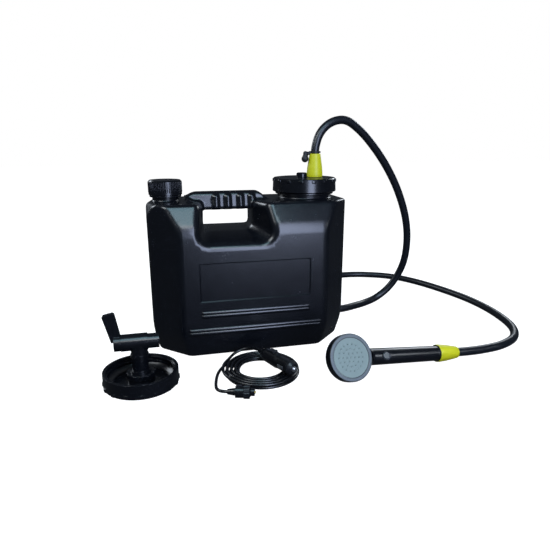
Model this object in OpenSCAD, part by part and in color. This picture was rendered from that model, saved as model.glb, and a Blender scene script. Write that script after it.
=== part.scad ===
// Camp shower kit: a jerry can with a submersible pump under its wide lid, a hose with a hand shower,
// a spare tap lid and a 12 V lead. Origin at the centre of the can's base, X along its front, Z up.

/* [Can] */
// Width of the can
can_w = 325; // [315:1:340]
// Depth of the can, front to back
can_d = 166; // [160:1:180]
// Length cut off each upright corner, along the sides
corner_cut = 45.5; // [42:0.5:50]
// Radius of the soft creases between the can's sides
corner_r = 14; // [8:1:18]
// Wall of the can
can_wall = 3; // [2:0.5:4]
// Height where the front and back shoulders start
shoulder_z = 205; // [200:1:208]
// Height of the can's top face
top_z = 238; // [234:1:244]
// How far the top face is set in at the front and back
top_front_in = 21; // [18:1:23]
// Height of the slope at the top of the ends
end_slope_h = 10; // [6:1:14]
// How far the top face is set in at the ends
end_in = 8; // [5:0.5:10]
// How far the base is drawn in
base_in = 8; // [5:1:11]
// How far the base is drawn in at the cut corners
corner_base_in = 12; // [8:1:14]
// Height over which the base is drawn in
base_h = 40; // [34:1:42]

/* [Handle] */
// Distance from the filler neck's middle to the hand gap
gap_from_fill = 56.5; // [54:0.5:60]
// Distance from the hand gap to the pump neck's middle
gap_from_lid = 95.5; // [92:0.5:99]
// Floor of the hand gap
gap_floor = 194; // [190:1:198]
// Radius in the gap's lower corners
gap_r = 14; // [8:1:18]
// Radius in the gap's lower corners at the front and back
gap_front_r = 20; // [16:1:24]
// How far the gap flares to the left at the front and back
gap_flare_left = 14; // [8:1:16]
// How far the gap flares to the right at the front and back
gap_flare_right = 24; // [16:1:26]
// How far the gap's floor falls to the front and back
gap_fall = 12; // [8:1:14]
// Thickness of the handle, front to back
handle_d = 32; // [26:1:36]
// Height of the handle's underside
handle_under = 227; // [224:1:230]
// Height of the handle's top
handle_top = 256; // [252:1:260]
// Radius along the handle's edges
handle_r = 8; // [5:1:10]
// Number of finger ribs
finger_ribs = 4; // [3:1:5]

/* [Front] */
// Margin from the ends of the flat front to the bare panel
panel_in = 29.5; // [24:0.5:36]
// Height of the front panel
panel_h = 59; // [50:1:64]
// Height of the panel's middle above the base
panel_z = 124; // [118:1:130]
// Depth of the panel
panel_deep = 1.2; // [0.8:0.1:1.6]
// Margin from the ends of the flat front to the lower bead pair
bead_in = 12; // [8:0.5:18]
// How much shorter the upper bead pair is at each end
bead_step = 20; // [12:1:28]
// Height of the upper bead pair
bead_upper_z = 72.5; // [68:0.5:76]
// Height of the lower bead pair
bead_lower_z = 44.5; // [40:0.5:50]
// Radius of one bead
bead_r = 2.2; // [1.5:0.1:2.6]

/* [Filler cap] */
// Distance of the filler neck's middle from the can's left end
fill_inset = 32; // [30.5:0.5:36]
// Radius of the filler neck's wall
fill_neck_r = 21; // [20:0.5:21.5]
// Height of the filler neck's rim above the top face
fill_rim = 31.5; // [30:0.5:33]
// Radius of the filler cap
fill_cap_r = 27.2; // [27:0.1:28]
// Height of the filler cap
fill_cap_h = 23; // [21:0.5:24]
// Thickness of the cap's liner
liner_t = 2.2; // [1.5:0.1:3]
// Thread pitch of the filler neck
fill_pitch = 4; // [3.8:0.1:4.4]

/* [Pump lid] */
// Distance of the pump neck's middle from the can's right end
lid_inset = 61.5; // [60.5:0.5:64]
// Height of the wide neck's rim above the top face
neck_rim = 28.2; // [27:0.2:30]
// Radius of the wide lids
lid_r = 54; // [53.5:0.1:55]
// Distance from the outside of a wide lid to the neck's wall
lid_reach = 9; // [8.6:0.1:9.4]
// Height of the wide lids
lid_h = 22; // [21:0.5:23]
// Thread pitch of the wide neck
lid_pitch = 6; // [5.8:0.1:6.6]
// Thickness of the lid gaskets
gasket_t = 2; // [1.5:0.1:2.5]
// Thickness of the port plate's flange
plate_t = 3; // [2.5:0.1:4]
// Thickness of the slip ring
slip_t = 1; // [0.8:0.1:1.5]
// Thickness of the lid ring's lip
lip_t = 3.2; // [2.5:0.1:4]
// How far the lid ring's lip reaches in over the neck's wall
lip_in = 1.6; // [1.2:0.1:2]
// Grip ribs round each wide lid
lid_ribs = 16; // [12:1:20]
// Distance of the water outlet in from the right of the neck's bore
outlet_in = 21; // [20.5:0.5:24]
// Place of the water outlet from the lid's middle, to the back
outlet_dy = 8; // [4:0.5:9]
// Place of the power socket from the lid's middle, to the left
socket_dx = -8; // [-12:0.5:-6]
// Place of the power socket from the lid's middle, to the front
socket_dy = -12; // [-16:0.5:-10]
// Radius of the power socket's boss
socket_r = 9; // [8:0.5:10]
// Height of the power socket's boss
socket_h = 9; // [7:0.5:11]

/* [Hose] */
// Outer radius of the hose
hose_r = 7; // [6.5:0.1:7.2]
// Radius of the hose nuts at their wide end
nut_big_r = 14; // [13.5:0.1:14.4]
// Radius of the hose nuts at their narrow end
nut_small_r = 9; // [8.6:0.1:10]
// Length of the hose nuts
nut_len = 39; // [36:0.5:42]

/* [Pump] */
// Radius of the pump housing
pump_r = 17.5; // [16.5:0.1:18]
// Length of the pump housing
pump_len = 76; // [74:1:84]
// Height of the strainer
strainer_h = 22; // [18:1:26]
// Gap between the strainer and the can's floor
pump_lift = 6; // [4:1:10]
// Radius of the motor shaft
shaft_r = 1.5; // [1.2:0.1:1.8]
// Running clearance of shafts and stems
run_gap = 0.06; // [0.03:0.01:0.08]

/* [Hand shower] */
// Radius of the shower head
head_r = 34.5; // [33:0.5:36]
// Radius of the handle
grip_r = 11.6; // [11:0.1:12.2]
// Length from the head's middle to the hose end of the handle
grip_len = 157; // [150:1:164]
// Lean of the face back from upright
head_lean = 27; // [22:1:32]
// Droop of the handle towards the hose
grip_drop = 6.3; // [6:0.1:6.6]
// Turn of the handle from the can's front
grip_turn = 6.4; // [6:0.1:7]
// Travel of the flow button
button_travel = 1.2; // [0.8:0.1:1.6]

/* [Tap lid] */
// Place of the tap lid, across
tap_x = -183; // [-190:0.5:-180]
// Place of the tap lid, front to back
tap_y = -142.5; // [-150:0.5:-138]
// Height of the tap barrel's axis
tap_axis_z = 63.5; // [60:0.5:66]
// Radius of the tap barrel
barrel_r = 12; // [11.5:0.1:13]
// Length of the tap barrel
barrel_len = 52; // [48:1:54]
// Radius of the tap stem
stem_r = 11.6; // [11:0.1:12]
// Radius of the turning plug in the tap
tap_plug_r = 8.5; // [8:0.1:9]
// Length of the tap lever
lever_len = 45; // [40:1:50]

/* [Lead] */
// Outer radius of the lead
lead_r = 2.25; // [2.2:0.05:2.3]
// Loops in each layer of the coil
coil_loops = 4; // [3:1:5]
// Step from loop to loop
coil_step = 6; // [5.9:0.1:6.4]
// Step from layer to layer
coil_layer = 5.3; // [5.2:0.1:6]
// Inner radius of the coil, to the lead's middle
coil_in_r = 33; // [30:1:35]
// Radius of the car plug's body
plug_r = 11.4; // [11.2:0.1:12]
// Radius of the car plug's nose
nose_r = 10.4; // [10:0.1:10.6]
// Travel of the car plug's tip
tip_travel = 3; // [2:0.5:3.5]

/* [Hidden] */
$fn = 64;
eps = 0.01;
gap = 0.3;
seat_gap = 0.15;
thread_gap = 0.5;

can_black = [0.07, 0.08, 0.09];
cap_black = [0.1, 0.11, 0.12];
rubber_black = [0.05, 0.05, 0.05];
lime = [0.74, 0.79, 0.1];
face_grey = [0.45, 0.53, 0.56];
steel = [0.7, 0.7, 0.72];
brass = [0.78, 0.62, 0.28];
copper = [0.72, 0.42, 0.24];
plate_black = [0.13, 0.14, 0.15];
milky = [0.82, 0.84, 0.84];

// Places along the can that follow its width
flat_half = can_w / 2 - corner_cut;
corner_far = (can_w / 2 + can_d / 2 - corner_cut) / sqrt(2);
corner_ease = 2;
panel_w = 2 * (flat_half - panel_in);
bead_lower = flat_half - bead_in;
bead_upper = bead_lower - bead_step;
fill_x = fill_inset - can_w / 2;
lid_x = can_w / 2 - lid_inset;
gap_left = fill_x + gap_from_fill;
gap_right = lid_x - gap_from_lid;

// Heights of the pump lid's stack
rim_z = top_z + neck_rim;
gasket_top = rim_z + gasket_t;
flange_top = gasket_top + plate_t;
slip_top = flange_top + slip_t;
lid_top = slip_top + lip_t;
plate_top = lid_top - 0.4;
lid_bottom = lid_top - lid_h;
neck_r = lid_r - lid_reach;
neck_bore_r = neck_r - can_wall;
lid_bore_r = neck_r + 3.4;
lid_ridge_r = neck_r + 1;
plate_r = lid_ridge_r - 0.6;
lip_r = neck_r - lip_in;
outlet = [lid_x + neck_bore_r - outlet_in, outlet_dy];
socket = [lid_x + socket_dx, socket_dy];
socket_shank = 13;

// Heights of the filler cap's stack
fill_rim_z = top_z + fill_rim;
liner_top = fill_rim_z + liner_t;
fill_roof_t = 4;
fill_cap_top = liner_top + fill_roof_t;
fill_cap_bottom = fill_cap_top - fill_cap_h;
fill_bore_r = fill_neck_r + 2.6;

// Hose ends, measured from the seat that each nut screws down to
seat_flange_r = nut_big_r - 1.4;
seat_flange_t = 2.5;
stub_r = 10.2;
stub_len = 15;
washer_t = 2;
tail_flange_t = 3;
hose_start = stub_len + washer_t + tail_flange_t;
tail_shank_r = 4.6;
tail_shank_len = 14;
water_bore_r = 5;

// Pump stack
pump_z = can_wall + pump_lift;
housing_z = pump_z + strainer_h;
housing_top = housing_z + pump_len;
housing_wall = 1.8;
inlet_t = 2.5;
inlet_r = 6;
impeller_z = housing_z + inlet_t + 0.8;
impeller_h = 7.5;
impeller_r = pump_r - 4;
motor_z = impeller_z + impeller_h + 1;
motor_r = pump_r - 3.7;
motor_wall = 1.2;
motor_top = housing_top - 6;
end_plate_t = 3;
bearing_r = 4;
bearing_len = 4;
boss_wall = 1.2;
shaft_top = motor_top - motor_wall - 0.6;
cap_t = 5;
barb_r = 6;
barb_len = 20;
riser_wall = 2;
gland_r = 3.4;
gland_h = 8;
gland_at = [outlet[0] - 12.8, outlet[1] - 2];
cable_r = 2;
cable_straight = 9;
cable_rise = 6;
spigot_shank = 12;
clip_up = 5;
clip_h = 8;
clip_t = 0.9;
clip_ear = 5;

// Hand shower
rim_back = 7;
rim_front = -4;
head_wall = 2.2;
grip_y = 3;
head_pos = [108, -205, head_r * cos(head_lean) + rim_back * sin(head_lean)];
bezel_in_r = head_r - 5.5;
bezel_front = -9;
spray_t = 2;
mat_t = 1.6;
nozzle_r = 1.1;
nozzle_rings = 4;
nozzle_pitch = 6.4;
button_x = 58;
button_r = 5.5;
button_up = 1.6;
button_well = 4.8;
spring_room = button_travel + 0.9;
grip_bore_r = 6;

// Tap lid
lid_roof_t = 3;
tap_boss_r = 19;
tap_boss_top = 12;
tap_nut_t = 6.5;
tap_nut_r = 21;
tap_flange_z = tap_boss_top + tap_nut_t + gap;
tap_flange_t = 3;
tap_outlet_r = barrel_r - 1.5;
spout_len = 15.5;
barrel_x0 = tap_x - 0.5 * barrel_len + 2;
barrel_x1 = barrel_x0 + barrel_len;
plug_len = 30;
lever_hub_t = 9;
lever_lean = 12;
lever_w = 17;

// Lead
coil_at = [-9, -151];
coil_wide = 1.04;
coil_deep = 1.06;
coil_turns = 2 * coil_loops;
coil_start_angle = 140;
coil_out_r = coil_in_r + coil_step * (coil_loops - 0.25);
lead_rest_z = lead_r + 0.05;
plug_at = [0.5, -133, 2 * lead_r + coil_layer + plug_r + gap];
plug_turn = -66;
plug_body_len = 42;
plug_nose_len = 27;
plug_relief_len = 12;
connector_at = [-70, -215.5, 9.3];
connector_turn = -16;
connector_r = 8;
ring_r = 9.2;
ring_at = 22;
ring_len = 8;

function unit(v) = v / norm(v);
function turn_z(p, a) = [p[0] * cos(a) - p[1] * sin(a), p[0] * sin(a) + p[1] * cos(a), p[2]];
function turn_y(p, a) = [p[0] * cos(a) + p[2] * sin(a), p[1], p[2] * cos(a) - p[0] * sin(a)];
function turn_x(p, a) = [p[0], p[1] * cos(a) - p[2] * sin(a), p[1] * sin(a) + p[2] * cos(a)];
// A point of the hand shower's own frame in the part's frame
function handset_point(p) = head_pos + turn_z(turn_y(turn_x(p, -head_lean), grip_drop), grip_turn);
// A point along the car plug's or the connector's own axis in the part's frame
function plug_point(s) = plug_at + turn_z([s, 0, 0], plug_turn);
function connector_point(s) = connector_at + turn_z([s, 0, 0], connector_turn);

// Smooth path through route points
function blend4(a, b, c, d, t) = 0.5 * (2 * b + (c - a) * t + (2 * a - 5 * b + 4 * c - d) * t * t
    + (3 * b - a - 3 * c + d) * t * t * t);
function smooth_path(p, k) = let (n = len(p)) concat(
    [for (i = [0 : n - 2]) for (j = [0 : k - 1])
        blend4(p[max(i - 1, 0)], p[i], p[i + 1], p[min(i + 2, n - 1)], j / k)], [p[n - 1]]);
function path_tangents(p) = let (n = len(p))
    [for (i = [0 : n - 1]) unit(p[min(i + 1, n - 1)] - p[max(i - 1, 0)])];
function first_normal(t) = unit(cross(t, abs(t[2]) > 0.8 ? [1, 0, 0] : [0, 0, 1]));
function carried_normals(t) = [for (i = 0, n = first_normal(t[0]); i < len(t);
    i = i + 1, n = i < len(t) ? unit(n - t[i] * (n * t[i])) : n) n];
function path_length(p) = len(p) < 2 ? 0 : [for (i = [1 : len(p) - 1]) norm(p[i] - p[i - 1])]
    * [for (i = [1 : len(p) - 1]) 1];

// One unbroken tube along a path
module tube_along(path, r, sides) {
    n = len(path);
    t = path_tangents(path);
    side = carried_normals(t);
    ring = [for (i = [0 : n - 1]) for (k = [0 : sides - 1]) let (a = 360 * k / sides)
        path[i] + r * (cos(a) * side[i] + sin(a) * cross(t[i], side[i]))];
    walls = [for (i = [0 : n - 2]) for (k = [0 : sides - 1])
        let (a = i * sides + k, b = i * sides + (k + 1) % sides) each [
            [a, a + sides, b], [b, a + sides, b + sides]]];
    first_cap = [for (k = [1 : sides - 2]) [0, k, k + 1]];
    last = (n - 1) * sides;
    last_cap = [for (k = [1 : sides - 2]) [last, last + k + 1, last + k]];
    polyhedron(ring, concat(walls, first_cap, last_cap), convexity = 10);
}

// A screw thread: a ridge from radius r0 to r1, square ended, climbing one pitch a turn
module screw_ridge(r0, r1, z0, pitch, turns, w0, w1) {
    steps = 30;
    n = round(turns * steps);
    corner = [for (i = [0 : n]) let (a = 360 * i / steps, z = z0 + pitch * i / steps) each [
        [r0 * cos(a), r0 * sin(a), z - w0 / 2], [r1 * cos(a), r1 * sin(a), z - w1 / 2],
        [r1 * cos(a), r1 * sin(a), z + w1 / 2], [r0 * cos(a), r0 * sin(a), z + w0 / 2]]];
    outward = r1 > r0;
    wall = [for (i = [0 : n - 1]) for (k = [0 : 3]) let (a = 4 * i + k, b = 4 * i + (k + 1) % 4) each [
        [a, b, a + 4], [b, b + 4, a + 4]]];
    caps = [[0, 2, 1], [0, 3, 2], [4 * n, 4 * n + 1, 4 * n + 2], [4 * n, 4 * n + 2, 4 * n + 3]];
    faces = concat(wall, caps);
    polyhedron(corner, outward ? faces : [for (f = faces) [f[2], f[1], f[0]]], convexity = 10);
}

module ring_at_z(r_out, r_in, z0, z1) {
    translate([0, 0, z0]) difference() {
        cylinder(r = r_out, h = z1 - z0);
        translate([0, 0, -1]) cylinder(r = r_in, h = z1 - z0 + 2);
    }
}

// Rounded rectangle, centred
module round_rect(w, d, r) {
    square([w - 2 * r, d], center = true);
    square([w, d - 2 * r], center = true);
    for (x = [-1, 1]) for (y = [-1, 1]) translate([x * (w / 2 - r), y * (d / 2 - r)]) circle(r);
}

// The can's eight-sided outline with soft creases, from the distances of its sides, ends and cut corners
function eased_octagon(ends, sides, corners, r) = let (far = [ends, corners, sides, corners], steps = 4)
    [for (k = [0 : 7]) let (a = 45 * k, b = a + 45, p = far[k % 4] - r, q = far[(k + 1) % 4] - r,
        x = (p * sin(b) - q * sin(a)) / sin(45), y = (q * cos(a) - p * cos(b)) / sin(45))
        for (i = [0 : steps]) let (t = a + 45 * i / steps) [x + r * cos(t), y + r * sin(t)]];

// All that lies between two opposite sides of the can: drawn in at the base, sloping in at the top
module between_sides(turn, far, foot_in, slope_h, slope_in) {
    past = 4;
    foot_rate = foot_in / base_h;
    slope_rate = slope_in / slope_h;
    edge = [[far - foot_in - past * foot_rate, -past], [far + past, base_h + past / foot_rate],
        [far + past, top_z - slope_h - past / slope_rate], [far - slope_in - past * slope_rate, top_z + past]];
    rotate(turn) rotate([90, 0, 0]) linear_extrude(2 * can_w, center = true)
        polygon(concat(edge, [for (i = [3 : -1 : 0]) [-edge[i][0], edge[i][1]]]));
}

// The can's closed form; grow is negative for the hollow inside
module can_form(grow) {
    ends = can_w / 2 + grow;
    sides = can_d / 2 + grow;
    corners = corner_far + grow;
    intersection() {
        translate([0, 0, -grow]) linear_extrude(top_z + 2 * grow)
            polygon(eased_octagon(ends, sides, corners, corner_r + grow));
        between_sides(0, ends, base_in, end_slope_h, end_in);
        between_sides(90, sides, base_in, top_z - shoulder_z, top_front_in);
        between_sides(45, corners, corner_base_in, corner_ease, corner_ease);
        between_sides(-45, corners, corner_base_in, corner_ease, corner_ease);
    }
}

// The hand gap under the handle, open at the top; grow widens it for the hollow inside
module hand_gap(grow) {
    r = gap_r + grow;
    high = handle_top + 20;
    mid = handle_d / 2 + 4;
    rotate([90, 0, 0]) linear_extrude(2 * mid + 2 * eps, center = true) {
        translate([gap_left - grow, gap_floor + gap_r]) square([gap_right - gap_left + 2 * grow, high - gap_floor]);
        translate([gap_left + gap_r, gap_floor - grow]) square([gap_right - gap_left - 2 * gap_r, high - gap_floor]);
        for (x = [gap_left + gap_r, gap_right - gap_r]) translate([x, gap_floor + gap_r]) circle(r);
    }
    for (side = [-1, 1]) hull() {
        gap_stage(side * mid, gap_left, gap_right, gap_floor, gap_r, high, grow);
        gap_stage(side * (can_d / 2 + 1), gap_left - gap_flare_left, gap_right + gap_flare_right,
            gap_floor - gap_fall, gap_front_r, high, grow);
    }
}

// The gap's corners at one depth
module gap_stage(y, left, right, floor, r, high, grow) {
    for (x = [left + r, right - r]) for (z = [floor + r, high])
        translate([x, y, z]) rotate([90, 0, 0]) cylinder(r = r + grow, h = eps, $fn = 32);
}

// The handle's outline from the front: level over the gap, short root on the left, long slope on the right
handle_root_left = gap_left - 25;
handle_root_right = gap_right + 42;

module handle_outline(grow) {
    low = handle_under - grow;
    high = handle_top + grow;
    root = top_z - 5 + grow;
    polygon([[handle_root_left, low - 4], [gap_left - 6, low], [gap_right + 8, low], [handle_root_right, low - 4],
        [handle_root_right, root], [gap_right + 15, high], [gap_left - 14, high], [handle_root_left + 2, high - 5],
        [handle_root_left, root]]);
}

module handle_bar(grow) {
    mid_z = (handle_under + handle_top) / 2;
    tall = handle_top - handle_under + 2 * grow;
    root_w = 34;
    intersection() {
        rotate([90, 0, 0]) linear_extrude(handle_d + 2 * grow, center = true) handle_outline(grow);
        union() {
            translate([0, 0, mid_z]) rotate([90, 0, 90]) linear_extrude(can_w, center = true)
                round_rect(handle_d + 2 * grow, tall, handle_r + grow);
            for (x = [gap_left - 0.9 * root_w, gap_right + 0.9 * root_w])
                translate([x, 0, mid_z - tall]) cube([root_w, handle_d + 2 * grow, 2 * tall], center = true);
        }
    }
}

module finger_ridges() {
    pitch = 0.247 * (gap_right - gap_left);
    middle = (gap_left + gap_right) / 2 + 12;
    mid_z = (handle_under + handle_top) / 2;
    for (i = [0 : finger_ribs - 1]) for (side = [-1, 1])
        translate([middle + (i - (finger_ribs - 1) / 2) * pitch, side * handle_d / 2, mid_z])
            rotate([90, 0, 0]) linear_extrude(5, center = true) round_rect(9.5, handle_top - handle_under - 6, 3.5);
}

// A pair of raised beads along the front and back
module bead_pair(half, z) {
    for (side = [-1, 1]) for (dz = [-2.4, 2.4]) translate([0, side * (can_d / 2 - 0.6), z + dz]) {
        rotate([0, 90, 0]) cylinder(r = bead_r, h = 2 * half, center = true);
        for (x = [-1, 1]) translate([x * half, 0, 0]) sphere(bead_r);
    }
}

module neck(x, r, rim, pitch, turns) {
    translate([x, 0, 0]) {
        translate([0, 0, top_z - can_wall]) cylinder(r = r, h = rim - top_z + can_wall);
        translate([0, 0, top_z + 7]) cylinder(r = r + 4, h = 3);
        screw_ridge(r - 0.4, r + 2.2, rim - 4 - pitch * turns, pitch, turns, 2.6, 1.8);
    }
}

module can_body() {
    color(can_black) difference() {
        union() {
            difference() {
                can_form(0);
                hand_gap(0);
            }
            handle_bar(0);
            finger_ridges();
            bead_pair(bead_upper, bead_upper_z);
            bead_pair(bead_lower, bead_lower_z);
            neck(fill_x, fill_neck_r, fill_rim_z, fill_pitch, 2);
            neck(lid_x, neck_r, rim_z, lid_pitch, 1.2);
        }
        difference() {
            can_form(-can_wall);
            hand_gap(can_wall);
        }
        handle_bar(-can_wall);
        for (side = [-1, 1]) translate([0, side * can_d / 2, panel_z]) rotate([90, 0, 0])
            linear_extrude(2 * panel_deep, center = true) round_rect(panel_w, panel_h, 4);
        translate([fill_x, 0, top_z - 2 * can_wall]) cylinder(r = fill_neck_r - can_wall, h = fill_rim + 3 * can_wall);
        translate([lid_x, 0, top_z - 2 * can_wall]) cylinder(r = neck_bore_r, h = neck_rim + 3 * can_wall);
    }
}

// A cap's wall with even flutes round it
module fluted(r, flutes, deep, h) {
    linear_extrude(h) polygon([for (i = [0 : 4 * flutes - 1])
        let (a = 90 * i / flutes, q = i % 4 < 2 ? r : r - deep) [q * cos(a), q * sin(a)]]);
}

module filler_cap() {
    color(cap_black) translate([fill_x, 0, 0]) {
        difference() {
            union() {
                translate([0, 0, fill_cap_bottom + 2]) fluted(fill_cap_r, 40, 0.9, fill_cap_h - 4.5);
                translate([0, 0, fill_cap_bottom]) cylinder(r = fill_cap_r - 0.9, h = fill_cap_h - 2);
                translate([0, 0, fill_cap_top - 2]) cylinder(r1 = fill_cap_r - 0.9, r2 = fill_cap_r - 2.6, h = 2);
            }
            translate([0, 0, fill_cap_bottom - 1]) cylinder(r = fill_bore_r, h = liner_top - fill_cap_bottom + 1);
        }
        screw_ridge(fill_bore_r + 0.4, fill_neck_r + thread_gap, fill_rim_z - 4 - fill_pitch * 1.5, fill_pitch, 1,
            1.4, 0.8);
    }
}

module filler_liner() {
    color(milky) translate([fill_x, 0, fill_rim_z]) difference() {
        cylinder(r = fill_bore_r - gap, h = liner_t);
        translate([0, 0, -1]) cylinder(r = fill_neck_r - 3 * can_wall, h = liner_t);
    }
}

// Grip ribs at the flat edge of a wide lid
module lid_grips(z, h) {
    for (i = [0 : lid_ribs - 1]) rotate(360 * i / lid_ribs) translate([lid_r - 2.2, 0, z])
        linear_extrude(h) round_rect(4.4, 7, 1.5);
}

module lid_ring() {
    color(cap_black) translate([lid_x, 0, 0]) {
        difference() {
            union() {
                translate([0, 0, lid_bottom]) cylinder(r1 = lid_r - 0.4, r2 = lid_r - 1.4, h = lid_h - 1);
                translate([0, 0, lid_top - 1]) cylinder(r1 = lid_r - 1.4, r2 = lid_r - 2.4, h = 1);
                lid_grips(lid_top - 6.5, 5);
            }
            translate([0, 0, lid_bottom - 1]) cylinder(r = lid_bore_r, h = slip_top - lid_bottom + 1);
            translate([0, 0, lid_bottom]) cylinder(r = lip_r, h = lid_h + 1);
        }
        screw_ridge(lid_bore_r + 0.4, lid_ridge_r, rim_z - 4 - lid_pitch * 0.7, lid_pitch, 0.5, 2.6, 1.8);
    }
}

module lid_slip_ring() {
    color(milky) translate([lid_x, 0, 0]) ring_at_z(plate_r, lip_r + gap, flange_top, slip_top);
}

module port_plate() {
    color(plate_black) difference() {
        translate([lid_x, 0, gasket_top]) union() {
            cylinder(r = plate_r, h = plate_t);
            cylinder(r = lip_r - gap, h = plate_top - gasket_top);
        }
        translate([outlet[0], outlet[1], gasket_top - 1]) cylinder(r = stub_r + seat_gap, h = 12);
        translate([socket[0], socket[1], gasket_top - 1]) cylinder(r = socket_r - 2.5 + seat_gap, h = 12);
    }
}

module lid_gasket() {
    color(rubber_black) translate([lid_x, 0, 0]) ring_at_z(plate_r - 1, neck_bore_r, rim_z, gasket_top);
}

// The end that a hose nut screws on to: flange, stub and bore, along +Z from its seat
module hose_stub(bore_from) {
    difference() {
        union() {
            cylinder(r = seat_flange_r, h = seat_flange_t);
            translate([0, 0, -1]) cylinder(r = stub_r, h = stub_len + 1);
        }
        translate([0, 0, bore_from]) cylinder(r = water_bore_r, h = stub_len - bore_from + 1);
    }
}

module outlet_spigot() {
    shank = plate_top - gasket_top + spigot_shank;
    color(cap_black) translate([outlet[0], outlet[1], plate_top]) difference() {
        union() {
            hose_stub(-2);
            translate([0, 0, -shank]) cylinder(r = stub_r, h = shank);
            translate([0, 0, -shank - barb_len]) cylinder(r = barb_r, h = barb_len + 1);
        }
        translate([0, 0, -shank - barb_len - 1]) cylinder(r = barb_r - 1.8, h = shank + barb_len + 2);
        translate([0, 0, -2]) cylinder(r = water_bore_r, h = stub_len + 3);
    }
}

module hex_nut(r, bore, h) {
    difference() {
        cylinder(r = r, h = h, $fn = 6);
        translate([0, 0, -1]) cylinder(r = bore, h = h + 2);
    }
}

module spigot_nut() {
    color(cap_black) translate([outlet[0], outlet[1], gasket_top - 7]) hex_nut(15, stub_r + seat_gap, 7);
}

module power_socket() {
    shank_r = socket_r - 2.5;
    color(cap_black) translate([socket[0], socket[1], plate_top]) difference() {
        union() {
            cylinder(r = socket_r, h = socket_h - 1.5);
            translate([0, 0, socket_h - 1.5]) cylinder(r1 = socket_r, r2 = socket_r - 1.5, h = 1.5);
            translate([0, 0, gasket_top - plate_top - socket_shank])
                cylinder(r = shank_r, h = plate_top - gasket_top + socket_shank + 1);
        }
        translate([0, 0, 1]) cylinder(r = 5.5, h = socket_h);
        for (x = [-1.8, 1.8]) translate([x, 0, -4]) cylinder(r = 0.9 + 0.02, h = 6);
    }
}

module socket_nut() {
    color(cap_black) translate([socket[0], socket[1], gasket_top - 5]) hex_nut(10.5, socket_r - 2.5 + seat_gap, 5);
}

module socket_pins() {
    color(brass) for (x = [-1.8, 1.8]) translate([socket[0] + x, socket[1], plate_top - 4])
        cylinder(r = 0.9, h = 8);
}

module dust_plug() {
    ring_z = plate_top + nut_len + 1;
    reach = 17.5;
    ball_r = 6;
    color(rubber_black) translate([outlet[0], outlet[1], ring_z]) rotate(180) {
        ring_at_z(hose_r + 2.4, hose_r + gap, 0, 3);
        translate([hose_r + 1.2, -2, 0]) cube([reach - hose_r - 1, 4, 3]);
        translate([reach, 0, -9.5]) sphere(ball_r);
        translate([reach, 0, -9.5]) cylinder(r = 3, h = 12.5);
    }
}

// A lime hose nut along +Z from its seat
module hose_nut() {
    color(lime) difference() {
        union() {
            translate([0, 0, gap]) cylinder(r = nut_big_r, h = 6);
            translate([0, 0, gap + 6]) cylinder(r1 = nut_big_r, r2 = nut_small_r, h = nut_len - gap - 6);
        }
        translate([0, 0, -1]) cylinder(r = seat_flange_r + gap, h = seat_flange_t + 1 + gap);
        cylinder(r = stub_r + gap, h = hose_start + gap);
        cylinder(r = hose_r + gap, h = nut_len + 1);
    }
}

module at_lid_outlet() {
    translate([outlet[0], outlet[1], plate_top]) children();
}

module in_handset() {
    translate(head_pos) rotate([-head_lean, grip_drop, grip_turn]) children();
}

module at_grip_end() {
    in_handset() translate([grip_len, grip_y, 0]) rotate([0, 90, 0]) children();
}

module lid_hose_nut() {
    at_lid_outlet() hose_nut();
}

module handset_hose_nut() {
    at_grip_end() hose_nut();
}

module hose_tail() {
    color(brass) translate([0, 0, stub_len + washer_t]) difference() {
        union() {
            cylinder(r = stub_r - 0.4, h = tail_flange_t);
            cylinder(r = tail_shank_r, h = tail_flange_t + tail_shank_len);
        }
        translate([0, 0, -1]) cylinder(r = tail_shank_r - 1.2, h = tail_flange_t + tail_shank_len + 2);
    }
}

module hose_tails() {
    at_lid_outlet() hose_tail();
    at_grip_end() hose_tail();
}

module hose_washer() {
    color(rubber_black) ring_at_z(stub_r - 0.4, water_bore_r, stub_len, stub_len + washer_t);
}

module hose_washers() {
    at_lid_outlet() hose_washer();
    at_grip_end() hose_washer();
}

// Route of the shower hose from the lid to the hand shower
hose_floor = hose_r + gap;
hose_route = concat(
    [for (s = [hose_start, nut_len + 3]) [outlet[0], outlet[1], plate_top + s]],
    [[124, 8.5, 330], [129, 9.5, 343.5], [137.5, 11, 355], [149, 13, 363.5], [163, 15.5, 368.5], [178, 18.5, 369],
    [194, 22, 363], [222, 29, 343],
    [256, 39, 310], [286, 48, 273], [311, 56, 233], [331, 64, 189], [343, 73, 145], [346, 83, 100],
    [339, 93, 64], [322, 100, 34], [297, 102, 14], [268, 94, hose_floor], [238, 80, hose_floor],
    [210, 70, hose_floor], [183, 69, hose_floor], [158, 83, hose_floor], [143, 112, hose_floor],
    [144, 160, hose_floor], [165, 220, hose_floor], [203, 267, hose_floor], [255, 300, hose_floor],
    [315, 308, hose_floor], [370, 294, hose_floor], [418, 262, hose_floor], [453, 205, hose_floor],
    [478, 130, hose_floor], [492, 55, hose_floor], [491, -20, hose_floor], [474, -93, hose_floor],
    [443, -140, hose_floor], [400, -165, hose_floor], [352, -174, hose_floor]],
    [for (s = [nut_len + 3, hose_start]) handset_point([grip_len + s, grip_y, 0])]);
hose_path = smooth_path(hose_route, 2);

module shower_hose() {
    echo(hose_length = path_length(hose_path));
    color(rubber_black) tube_along(hose_path, hose_r, 12);
}

// Pump
riser_top = gasket_top - spigot_shank - 1;
riser_bottom = housing_top + cap_t + 1;

module riser_tube() {
    color(milky) translate([outlet[0], outlet[1], 0])
        ring_at_z(barb_r + riser_wall + 0.05, barb_r + 0.05, riser_bottom, riser_top);
}

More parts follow.
